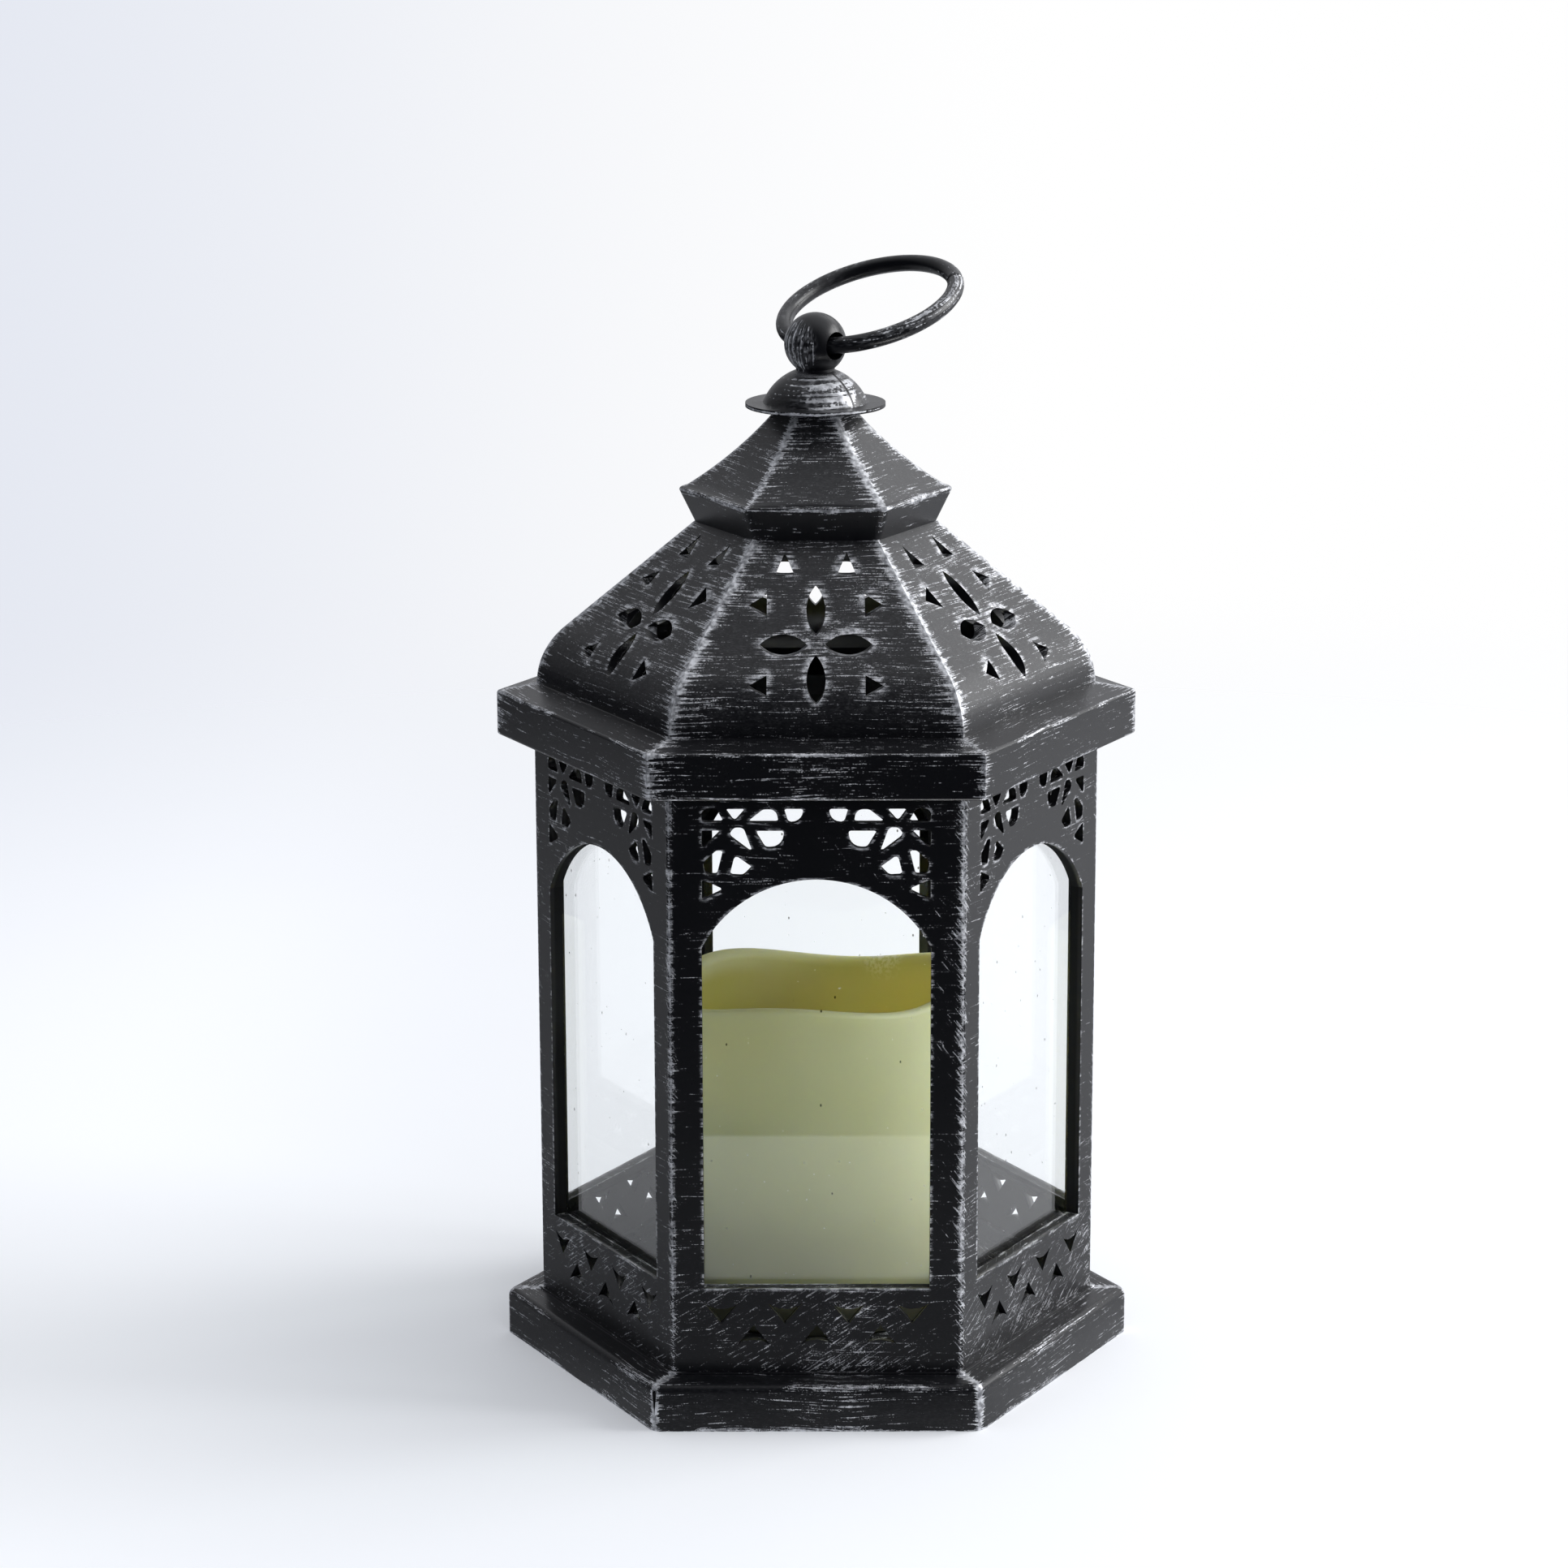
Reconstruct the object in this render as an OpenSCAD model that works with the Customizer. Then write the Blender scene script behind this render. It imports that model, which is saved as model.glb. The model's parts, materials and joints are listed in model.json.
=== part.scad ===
// Hexagonal lantern with six arched windows, a pierced roof, a ring handle and an electric pillar candle.
// Millimetres, +Z up. The origin is the middle of the base, on the surface that the lantern stands on.

/* [Base] */
// How far the base's corner stands out past the walls' corner, before it is rounded
base_out = 9.3; // [7:0.1:12]
// Height of the base, up to its deck
base_h = 11.9; // [11:0.1:16]
// Rounding of the base's upright corners
base_corner_round = 3.5; // [3:0.1:5]
// Rounding of the base's upper edge
base_edge_round = 2; // [1:0.1:2.5]
// Wall of the base
base_wall = 2.4; // [1.6:0.1:3]
// Thickness of the deck
deck_t = 3; // [2.4:0.1:3.4]
// Height of the raised seat under the walls
seat_h = 0.6; // [0.4:0.1:1]
// Width of the seat that shows outside the walls
seat_margin = 0.9; // [0.5:0.1:1.5]
// Height of the rib that the walls stand against
rib_h = 3; // [2:0.1:5]
// Thickness of that rib
rib_t = 1.6; // [1.2:0.1:2.4]
// Top of the base to the split at one of its corners
split_down = 1.5; // [1:0.1:2.5]
// Widest part of that split
split_w = 1.1; // [0.6:0.1:1.5]
// Height of that split
split_h = 5.6; // [4:0.1:7]

/* [Walls] */
// Middle of the lantern to the corner between two walls
body_corner_r = 71.1; // [70:0.1:74]
// Height of a wall
wall_h = 146.9; // [142:0.1:160]
// Thickness of a wall
wall_t = 2; // [1.6:0.1:2.6]
// How far each upright corner is flattened
corner_flat = 0.35; // [0.2:0.05:0.6]

/* [Windows] */
// Width of the wall beside a window
jamb_w = 7.9; // [7:0.1:10]
// Height of the window sill above the foot of the wall
sill_up = 21.7; // [20.5:0.1:28]
// Height of the wall above the top of an arch
head_h = 21.3; // [20.5:0.1:30]
// Rise of the arch above its springing
arch_rise = 17.1; // [12:0.1:24]
// Depth of the window reveal
reveal = 3.4; // [2.8:0.1:4]
// Width of the frame round the back of a window
frame_w = 3.6; // [2.8:0.1:4]
// Thickness of a pane
pane_t = 1.2; // [0.8:0.1:1.6]
// How far a pane lies over the frame
pane_lap = 2.2; // [1.5:0.1:2.6]

/* [Fretwork and darts] */
// Top of a wall to the highest fretwork
fret_down = 3.8; // [3.2:0.1:5]
// Side of a wall to the outermost fretwork
fret_in = 8.05; // [7:0.05:9]
// Width of a dart
dart_w = 8.3; // [6.6:0.1:9]
// Length of a dart
dart_h = 5.2; // [4.4:0.1:5.6]
// Hollow in the base of a dart
dart_hollow = 1.4; // [0.8:0.1:1.7]
// Spacing of the darts in a row
dart_pitch = 15.6; // [14.8:0.1:16.4]
// Foot of the wall to the lower row of darts
dart_up = 7; // [6:0.1:8]
// Height between the two rows of darts
dart_row_gap = 0.4; // [0.2:0.1:0.8]

/* [Roof] */
// How far the eave's corner stands out past the walls' corner
eave_out = 9.1; // [7:0.1:12]
// Height of the eave's outer face
eave_h = 11.6; // [10:0.1:14]
// Rise of the eave's top from its outer edge to the roof
eave_rise = 1.7; // [1:0.1:2.5]
// Rounding of the eave's edges
eave_round = 0.8; // [0.4:0.1:1.2]
// How far the roof's foot stands back from the walls' corner
roof_back = 1; // [0:0.1:2]
// Radius of the curve at the foot of the roof
roof_curve_r = 19.9; // [16:0.1:22]
// Slope of the roof
roof_slope = 43.4; // [42:0.1:46]
// Thickness of the roof and the eave
roof_t = 2.2; // [1.8:0.1:2.6]
// Depth of the lip behind the tops of the walls
lip_h = 3; // [2:0.1:4]
// Height of the flower's middle, as a share of the roof's height up to the cap
flower_share = 0.484; // [0.46:0.001:0.5]
// Length of the flower's level petals
petal_l = 11.9; // [9:0.1:12.4]
// Length of the flower's upright petals
petal_h = 10.2; // [8:0.1:10.6]
// Width of a petal
petal_w = 4.6; // [3:0.1:5]
// Middle of the flower to the start of a petal
petal_gap = 1.9; // [1.4:0.1:2.6]
// Length of the side of a roof triangle
roof_tri = 4.7; // [3.6:0.1:5]

/* [Cap] */
// Middle of the lantern to the cap's lower corner
cap_foot_corner_r = 30.3; // [29:0.1:32]
// Middle of the lantern to the cap's widest corner
cap_rim_corner_r = 34.3; // [33:0.1:36]
// Height of the cap's flared band
cap_band_h = 8.2; // [7:0.1:10]
// Height of the cap above its band
cap_crown_h = 20.7; // [19:0.1:23]
// Middle of the lantern to the cap's upper corner
cap_top_corner_r = 9.4; // [9:0.1:10.5]
// Hollow of the cap's slope
cap_hollow = 1.15; // [0.6:0.05:1.6]
// Rounding of the cap's rim
cap_round = 1.2; // [0.8:0.1:1.6]
// Wall of the cap
cap_t = 2.2; // [1.8:0.1:2.6]

/* [Finial and ring] */
// Radius of the finial's brim
brim_r = 17.35; // [16:0.05:18.5]
// Thickness of the brim
brim_t = 1; // [0.8:0.1:1.4]
// Radius of the dome's foot
dome_r = 13; // [12.5:0.1:14]
// Height of the dome, were it whole
dome_h = 8.8; // [8.2:0.1:9.6]
// Radius of the neck under the ball
neck_r = 4.8; // [4.2:0.1:5.2]
// Radius of the ball
ball_r = 7.7; // [7.4:0.1:8.2]
// Top of the brim to the middle of the ball
ball_up = 14.5; // [14.2:0.1:15.2]
// Radius of the hole through the ball
ball_hole_r = 3.45; // [3.4:0.05:3.7]
// Direction of that hole, and of the seam between the finial's halves
hole_turn = -43; // [-60:1:0]
// Radius of the ring, to the middle of its wire
ring_r = 22; // [21.5:0.05:23]
// Radius of the ring's wire
ring_wire_r = 2.1; // [1.8:0.05:2.15]
// How far the ring leans up from level
ring_lean = 21.2; // [0:0.1:60]
// How far the ring hangs back in its hole
ring_back = 0.65; // [0.5:0.05:0.75]

/* [Candle] */
// Wall of the candle round the battery housing
candle_skirt = 6.2; // [5:0.1:8]
// Mean height of the candle
candle_h = 83; // [75:0.5:90]
// Wall of the candle at its rim
candle_wall = 4; // [3:0.1:5]
// Depth of the hollow in its top
candle_hollow = 25; // [22:0.5:30]
// Thickness of the floor of that hollow
candle_floor_t = 4; // [3:0.1:6]
// Rounding of the rim
rim_round = 1.2; // [0.8:0.1:1.6]
// Height of the rim's single wave
wave_1 = 2; // [0:0.1:2.5]
// Height of the rim's double wave
wave_2 = 0.5; // [0:0.1:1]
// Height of the rim's triple wave
wave_3 = 2.15; // [0:0.05:2.5]

/* [Electrics] */
// Room between the battery bay's corners and the housing's wall
housing_room = 0.5; // [0.2:0.1:2]
// Height of the battery housing above the deck's underside
housing_h = 19; // [17.5:0.1:22]
// Wall of the housing
housing_t = 1.6; // [1.4:0.1:1.8]
// Width of the housing's flange
flange_w = 6.5; // [6:0.1:8]
// Thickness of that flange
flange_t = 2; // [1.6:0.1:2.4]
// Diameter of a battery
battery_d = 10.5; // [10:0.1:10.8]
// Length of a battery with its cap
battery_l = 44.5; // [43:0.1:45]
// Space for the spring at the end of a battery
spring_l = 5; // [4:0.1:5.6]
// Thickness of the battery cover
cover_t = 1.5; // [1.2:0.1:1.8]
// Clearance of the cover in its rails
cover_gap = 0.2; // [0.15:0.05:0.3]
// How far the cover slides
cover_travel = 12; // [8:1:16]
// Length of the switch
switch_l = 8.6; // [8:0.1:10]
// How far the switch knob slides
switch_travel = 2; // [1.5:0.1:2.5]
// Radius of the tube that carries the lamp
post_r = 5.6; // [5:0.1:6]
// Radius of the lamp
lamp_r = 2.5; // [2.3:0.1:2.6]

/* [Fasteners] */
// Radius of a small screw's shank
small_screw_r = 1.3; // [1.1:0.05:1.4]
// Radius of a small screw's head
small_head_r = 2.4; // [2.2:0.1:2.6]
// Radius of the finial screw's shank
big_screw_r = 1.5; // [1.4:0.05:1.7]
// Radius of the finial screw's head
big_head_r = 2.8; // [2.6:0.1:3.2]
// Clearance round a screw
screw_gap = 0.1; // [0.05:0.01:0.2]

/* [Hidden] */
$fn = 96;
FACES = ["front", "right_front", "right_back", "back", "left_back", "left_front"];

// Colours
paint = "#26282c";
clear = [0.8, 0.86, 0.88, 0.3];
wax = "#d9d7b0";
bare_steel = "#b8bcc0";
dark_moulding = "#33343a";
red_wire = "#c9403a";
battery_sleeve = "#c8a44a";
switch_grey = "#8a8d92";
knob_white = "#e8e8e4";
board_green = "#2f6b3f";
lamp_lens = "#f2e9c8";

// A hexagon's apothem is its corner radius times this
apo = cos(30);
// Half a side of a hexagon is its apothem times this
half_side = tan(30);
// Overlap that keeps a cut from ending on a face
eps = 0.5;

// Levels
deck_z = base_h;
deck_under_z = base_h - deck_t;
seat_z = base_h + seat_h;
eave_z = seat_z + wall_h;
eave_top_z = eave_z + eave_h;
roof_foot_z = eave_top_z + eave_rise;

// Walls
body_a = body_corner_r * apo;
wall_in_a = body_a - wall_t;
wall_half = body_a * half_side;
base_corner_r = body_corner_r + base_out;

// Windows
window_w = 2 * (wall_half - jamb_w);
window_h = wall_h - sill_up - head_h;
sill_z = seat_z + sill_up;
arch_top_z = sill_z + window_h;
arch_r = (pow(window_w / 2, 2) + pow(arch_rise, 2)) / (2 * arch_rise);
arch_mid_z = arch_top_z - arch_r;
frame_in_a = body_a - reveal;
fret_side = wall_half - fret_in;
fret_top_z = eave_z - fret_down;
// Half width that the fretwork is drawn for
fret_span = 27.5;
dart_low_z = seat_z + dart_up;
dart_high_z = dart_low_z + 2 * dart_h + dart_row_gap;

// Roof. The straight slope starts where the curve at the foot ends.
eave_a = (body_corner_r + eave_out) * apo;
roof_a = (body_corner_r - roof_back) * apo;
curve_mid_a = roof_a - roof_curve_r;
slope_in = cos(roof_slope);
slope_up = sin(roof_slope);
curve_end_a = curve_mid_a + roof_curve_r * slope_up;
curve_end_z = roof_foot_z + roof_curve_r * slope_in;
cap_foot_a = cap_foot_corner_r * apo;
function slope_z(a) = curve_end_z + (curve_end_a - a) * slope_up / slope_in;
cap_foot_z = slope_z(cap_foot_a);
// How far the cap lies over the roof, and how far the roof runs on under it
cap_seat = 2.5;
roof_tuck = 1;
seat_in_a = cap_foot_a - cap_seat * slope_in;
roof_end_a = seat_in_a - roof_tuck;
flower_z = roof_foot_z + flower_share * (cap_foot_z - roof_foot_z);
// Roof triangles, from the middle of the flower
tri_side_x = 11.8;
tri_top_x = 7.5;
tri_top_up = 14.2;
tri_mid_up = 8;
tri_low_down = 8.2;

// Cap
cap_rim_a = cap_rim_corner_r * apo;
cap_rim_z = cap_foot_z + cap_band_h;
cap_top_a = cap_top_corner_r * apo;
cap_top_z = cap_rim_z + cap_crown_h;
cap_under_z = cap_top_z - cap_t;
// Share of the band that runs on below the roof before it is cut off there
band_run_on = 0.15;

// Finial and ring
brim_top_z = cap_top_z + brim_t;
ball_z = brim_top_z + ball_up;
dome_ball_r = (dome_r * dome_r + dome_h * dome_h) / (2 * dome_h);
dome_mid_z = brim_top_z + dome_h - dome_ball_r;
neck_in = 3;
washer_t = 0.8;
washer_r = 4;
big_head_h = 2;
big_screw_l = 11.5;

// Electrics
flange_z = deck_under_z - flange_t;
housing_top_z = deck_under_z + housing_h;
housing_gap = 0.4;
contact_t = 0.4;
contact_in = 1.5;
coil_in = 1;
coil_t = 1;
battery_space = 1;
battery_gap = 0.4;
battery_slack = 0.1;
battery_pitch = battery_d + battery_space;
bay_l = battery_l + spring_l + 2 * contact_t + battery_slack;
bay_w = battery_pitch + battery_d + 2 * battery_gap;
bay_wall = 0.8;
battery_z = deck_under_z + battery_d / 2 + battery_gap;
housing_in_r = norm([bay_l / 2 + bay_wall, bay_w / 2]) + housing_room;
housing_r = housing_in_r + housing_t;
flange_r = housing_r + flange_w;
cap_nub_r = 1.9;
cap_nub_l = 0.8;
tab_over = 2;
tab_up = battery_d / 2 + tab_over;
cover_lap = 1.5;
cover_l = bay_l + 2 * cover_lap;
cover_w = bay_w + 2 * cover_lap;
cover_z = flange_z - cover_gap - cover_t;
rail_t = 1.5;
rail_lip = 1.2;
rail_z = cover_z - cover_gap - rail_lip;
grip_rib_w = 1;
grip_in = 5;
// Rail to the middle of the switch
switch_out = 5.9;
switch_y = cover_w / 2 + cover_gap + rail_t + switch_out;
switch_w = 4.4;
switch_h = 4.8;
knob_w = 1.8;
knob_drop = 1.8;
knob_gap = 0.2;
board_w = 22;
board_d = 16;
board_t = 1.6;
board_drop = 3.2;
board_z = housing_top_z - housing_t - board_drop;
board_foot_r = 1.4;
post_wall = 1.3;
post_in_r = post_r - post_wall;
lamp_brim = 0.4;
lamp_foot_r = lamp_r + lamp_brim;
lamp_foot_h = 1;
lamp_body_h = 5;
wire_r = 0.55;
lead_x = 1.27;
lead_z = battery_z + battery_d / 2 + wire_r + battery_gap;

// Candle
candle_gap = 0.8;
candle_r = housing_r + candle_gap + candle_skirt;
candle_base_z = deck_z;
candle_top_z = candle_base_z + candle_h;
hollow_z = candle_top_z - candle_hollow;
hollow_r = candle_r - candle_wall;
wave_1_turn = 50;
wave_2_turn = 31;
wave_3_turn = -48;

// Fasteners
screw_turns = [90, 210, 330];
screw_ring_r = (flange_r + housing_r) / 2;
small_head_h = 1.5;
small_screw_tip = 0.6;

// Points from p to q on an arc that stands off their chord by rise, to the left of the way there
function arc_points(p, q, rise, steps) =
    let (d = q - p, l = norm(d), r = (l * l / 4 + rise * rise) / (2 * rise))
    let (n = [-d[1], d[0]] / l, mid = (p + q) / 2 + n * (rise - r), half = asin(l / 2 / r))
    [for (k = [0:steps]) let (t = half * (2 * k / steps - 1)) mid + n * r * cos(t) + d / l * r * sin(t)];

// A corner's fillet, as points. Each corner is [x, y, radius].
function flat2(c) = [c[0], c[1]];
function unit(v) = v / norm(v);
function fillet_points(before, c, after) =
    let (d1 = unit(flat2(before) - flat2(c)), d2 = unit(flat2(after) - flat2(c)))
    let (half = acos(d1 * d2) / 2, mid = flat2(c) + unit(d1 + d2) * c[2] / sin(half))
    let (reach = c[2] / tan(half), turn = 180 - 2 * half, steps = c[2] > 1 ? 5 : 2)
    let (v1 = flat2(c) + d1 * reach - mid, v2 = flat2(c) + d2 * reach - mid)
    [for (k = [0:steps]) mid + (v1 * sin(turn * (1 - k / steps)) + v2 * sin(turn * k / steps)) / sin(turn)];
function rounded(c) =
    let (n = len(c))
    [for (i = [0:n - 1]) each fillet_points(c[(i + n - 1) % n], c[i], c[(i + 1) % n])];

// Fretwork of one upper corner: corners as [inwards from the side, down from the top, radius]
FRETS = [
    [[24.4, 0, 0.5], [19.7, 0, 0.5], [20.8, 3.6, 0.9], [24.1, 3.6, 2.6]],
    [[18.5, 3.4, 0.5], [17.9, 0.1, 1.9], [14.8, 0.1, 1.9], [10.7, 3.4, 0.4]],
    [[10.8, 0, 0.4], [5.6, 0, 0.4], [7.9, 3.3, 0.6]],
    [[5.5, 3.3, 0.5], [3.6, -0.1, 1.4], [0, -0.1, 1.6], [0, 3.3, 0.8]],
    [[0, 5.3, 0.4], [4.9, 5.3, 0.4], [0, 10.2, 0.5]],
    [[12.5, 11.3, 0.4], [10.1, 4.6, 1.3], [7.9, 4.6, 1], [6.3, 6.5, 1.3]],
    [[19.8, 5.4, 0.5], [12.7, 5.4, 0.5], [15.3, 9.8, 1.2], [19.4, 9.8, 3]],
    [[5.2, 10.3, 0.5], [3.5, 10.3, 0.9], [0.3, 13.2, 1.6], [0.7, 16.3, 1.4], [3.7, 16.3, 0.5]],
    [[8, 11.3, 0.7], [6.7, 16.5, 0.6], [10, 16.7, 1.6], [12.2, 14.4, 0.5]],
    [[5.6, 20, 0.6], [0, 17.4, 0.4], [0, 22.8, 0.4]]
];

// A flat shape in (across, up), set upright in the front face and cut from y = -from outwards
module upright(from, depth) {
    translate([0, -from, 0]) rotate([90, 0, 0]) linear_extrude(depth) children();
}

// A section in (outwards, up), run along the front face
module along_face(l) {
    rotate([90, 0, -90]) translate([0, 0, -l / 2]) linear_extrude(l) children();
}

// The sixth of the lantern that belongs to the front face
module front_sixth(z, h) {
    reach = 2 * base_corner_r;
    translate([0, 0, z]) linear_extrude(h)
        polygon([[0, 0], [-reach * half_side, -reach], [reach * half_side, -reach]]);
}

// A hexagonal prism with a flat side to the front
module hex_prism(a, z, h) {
    translate([0, 0, z]) cylinder(r = a / apo, h = h, $fn = 6);
}

// A window's outline, grown by g
module window_outline(g) {
    half = window_w / 2 + g;
    intersection() {
        translate([-half, sill_z - g]) square([2 * half, window_h + 2 * g]);
        union() {
            translate([0, arch_mid_z]) circle(r = arch_r + g);
            translate([-half - eps, sill_z - g - eps])
                square([2 * (half + eps), arch_mid_z - sill_z + g + eps]);
        }
    }
}

// An arrowhead that points up, from its hollow base
module dart() {
    hollow = arc_points([-dart_w / 2, 0], [dart_w / 2, 0], dart_hollow, 6);
    polygon(concat(hollow, [[0, dart_h]]));
}

// Every cut through a wall except its window
module wall_cuts() {
    for (side = [-1, 1])
        for (f = FRETS)
            polygon([for (q = rounded(f)) [side * fret_side * (1 - q[0] / fret_span), fret_top_z - q[1]]]);
    for (k = [-1.5:1:1.5])
        translate([k * dart_pitch, dart_high_z]) rotate(180) dart();
    for (k = [-1:1])
        translate([k * dart_pitch, dart_low_z]) dart();
}

// A petal, pointed at both ends, that starts at the origin and runs along +X
module petal(l, w) {
    r = (l * l / 4 + w * w / 4) / w;
    translate([l / 2, 0]) intersection() {
        translate([0, w / 2 - r]) circle(r = r);
        translate([0, r - w / 2]) circle(r = r);
    }
}

// A roof triangle on its base's middle, pointing up
module roof_triangle() {
    polygon([[-roof_tri / 2, 0], [roof_tri / 2, 0], [0, roof_tri]]);
}

// Every cut through a roof panel, as seen from the front
module roof_cuts() {
    translate([0, flower_z]) {
        for (turn = [0, 180]) rotate(turn) translate([petal_gap, 0]) petal(petal_l, petal_w);
        for (turn = [90, 270]) rotate(turn) translate([petal_gap, 0]) petal(petal_h, petal_w);
        for (side = [-1, 1]) {
            translate([side * tri_top_x, tri_top_up]) roof_triangle();
            for (up = [tri_mid_up, -tri_low_down])
                translate([side * tri_side_x, up]) rotate(-90 * side) roof_triangle();
        }
    }
}

// Half of the section of a roof panel, from the lantern's middle to the surface t under its face
module roof_section(t) {
    tip_a = roof_end_a - t * slope_up;
    tip_z = slope_z(roof_end_a) - t * slope_in;
    polygon([
        [0, roof_foot_z], [roof_a - t, roof_foot_z],
        [curve_end_a - t * slope_up, curve_end_z - t * slope_in],
        [tip_a, tip_z], [0, tip_z]
    ]);
    intersection() {
        translate([curve_mid_a, roof_foot_z]) circle(r = roof_curve_r - t);
        translate([curve_mid_a, roof_foot_z]) square([roof_curve_r, roof_curve_r]);
    }
}

// Section of the eave: outer face, sloped top, underside and the lip behind the walls
module eave_section() {
    lip_a = wall_in_a - wall_t;
    difference() {
        union() {
            translate([lip_a, eave_z]) square([eave_a - eave_round - lip_a, eave_h]);
            translate([lip_a, eave_z + eave_round]) square([eave_a - lip_a, eave_h - 2 * eave_round]);
            for (z = [eave_z + eave_round, eave_top_z - eave_round])
                translate([eave_a - eave_round, z]) circle(r = eave_round);
            polygon([
                [roof_a - roof_t, eave_top_z - eps], [eave_a - eave_round, eave_top_z - eps],
                [eave_a - eave_round, eave_top_z], [roof_a, roof_foot_z],
                [roof_a - roof_t, roof_foot_z + eps]
            ]);
            translate([lip_a, eave_z - lip_h]) square([wall_t, lip_h + eps]);
        }
        translate([0, eave_z + roof_t]) square([eave_a - roof_t, eave_h - 2 * roof_t]);
        translate([0, eave_z + roof_t]) square([roof_a - roof_t, eave_h + eps]);
    }
}

// The cap's outline from its middle to the underside of its rim, t inside its surface
function cap_profile(t) =
    let (top = [cap_top_a - t / 2, cap_top_z - t], rim_low = [cap_rim_a - t, cap_rim_z - t / 2])
    let (rim_top = rim_low + [-cap_round, cap_round / 2])
    concat(arc_points(top, rim_top, -cap_hollow, 12), arc_points(rim_top, rim_low, cap_round / 4, 4));

// Apothems of a section turned into the radii of its corners
function at_corner(section) = [for (q = section) [q[0] / apo, q[1]]];

// Half of the cap's section through a corner, cut off along the roof's slope
module cap_section() {
    foot = [cap_foot_a, cap_foot_z] - band_run_on * [cap_rim_a - cap_foot_a, cap_band_h];
    out_a = cap_foot_a + cap_seat;
    seat = [[seat_in_a, slope_z(seat_in_a)], [out_a, slope_z(out_a)], [-eps, slope_z(out_a)]];
    difference() {
        polygon(at_corner(concat([[0, cap_top_z]], cap_profile(0), [foot, [0, foot[1]]])));
        polygon(at_corner(concat([[-eps, cap_under_z]], cap_profile(cap_t), seat)));
    }
}

// The outside of the base: rounded hexagons stacked up to the rounding of its upper edge
module base_outside() {
    core_r = base_corner_r - base_corner_round / apo;
    edge_steps = 5;
    corner_steps = 6;
    n = 6 * (corner_steps + 1);
    edge = [for (k = [0:edge_steps]) 90 * k / edge_steps];
    // Levels as [how far in, height]
    levels = concat(
        [[0, 0]],
        [for (t = edge) [base_edge_round * (1 - cos(t)), base_h - base_edge_round * (1 - sin(t))]]
    );
    top = len(levels) - 1;
    points = [
        for (level = levels) for (k = [0:5]) for (j = [0:corner_steps])
            let (t = 60 * (k + j / corner_steps) - 30, r = base_corner_round - level[0])
            [core_r * cos(60 * k) + r * cos(t), core_r * sin(60 * k) + r * sin(t), level[1]]
    ];
    sides = [
        for (i = [0:top - 1]) for (j = [0:n - 1])
            let (next = (j + 1) % n)
            [(i + 1) * n + j, (i + 1) * n + next, i * n + next, i * n + j]
    ];
    polyhedron(points, concat(sides, [[for (j = [0:n - 1]) j], [for (j = [n - 1:-1:0]) top * n + j]]));
}

module base_plinth() {
    base_a = base_corner_r * apo;
    screw_top = deck_z - small_screw_tip;
    split_z = base_h - split_down;
    color(paint) difference() {
        union() {
            base_outside();
            hex_prism(body_a + seat_margin, base_h - eps, seat_h + eps);
            difference() {
                hex_prism(wall_in_a, base_h - eps, seat_h + rib_h + eps);
                hex_prism(wall_in_a - rib_t, base_h - 2 * eps, seat_h + rib_h + 4 * eps);
            }
        }
        hex_prism(base_a - base_wall, -eps, deck_under_z + eps);
        hex_prism(wall_in_a - rib_t, base_h, seat_h + rib_h + eps);
        translate([0, 0, -eps]) cylinder(r = housing_r + housing_gap, h = base_h + 2 * eps);
        for (turn = screw_turns)
            rotate(turn) translate([screw_ring_r, 0, 0])
                cylinder(r = small_screw_r + screw_gap, h = screw_top);
        rotate(240) translate([base_corner_r, 0, 0]) rotate([90, 0, 90])
            linear_extrude(4 * base_corner_round, center = true)
                polygon([[-split_w / 2, split_z], [split_w / 2, split_z], [0, split_z - split_h]]);
    }
}

module side_panel(i) {
    flat_y = (body_corner_r - corner_flat) * apo;
    flat_x = (body_corner_r - corner_flat) / 2;
    face_x = wall_half - 2 * corner_flat;
    color(paint) rotate(60 * i) difference() {
        union() {
            translate([0, 0, seat_z]) linear_extrude(wall_h) polygon([
                [-face_x, -body_a], [face_x, -body_a], [flat_x, -flat_y],
                [wall_in_a * half_side, -wall_in_a], [-wall_in_a * half_side, -wall_in_a],
                [-flat_x, -flat_y]
            ]);
            upright(frame_in_a, reveal - wall_t + eps) window_outline(frame_w);
        }
        upright(frame_in_a - eps, reveal + 2 * eps) window_outline(0);
        upright(wall_in_a - eps, wall_t + 2 * eps) wall_cuts();
    }
}

module window_pane(i) {
    color(clear) rotate(60 * i) upright(frame_in_a - pane_t, pane_t) window_outline(pane_lap);
}

module roof_panel(i) {
    top_z = slope_z(roof_end_a);
    color(paint) rotate(60 * i) difference() {
        intersection() {
            along_face(2 * eave_a) {
                difference() {
                    roof_section(0);
                    roof_section(roof_t);
                    translate([-eps, 0]) square([roof_end_a - roof_t * slope_up + eps, top_z + eps]);
                }
                eave_section();
            }
            front_sixth(eave_z - lip_h - eps, top_z);
        }
        upright(roof_end_a, roof_a) roof_cuts();
    }
}

module roof_cap() {
    color(paint) difference() {
        rotate_extrude($fn = 6) cap_section();
        translate([0, 0, cap_under_z - eps]) cylinder(r = big_screw_r + 2 * screw_gap, h = cap_t + 2 * eps);
    }
}

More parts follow.
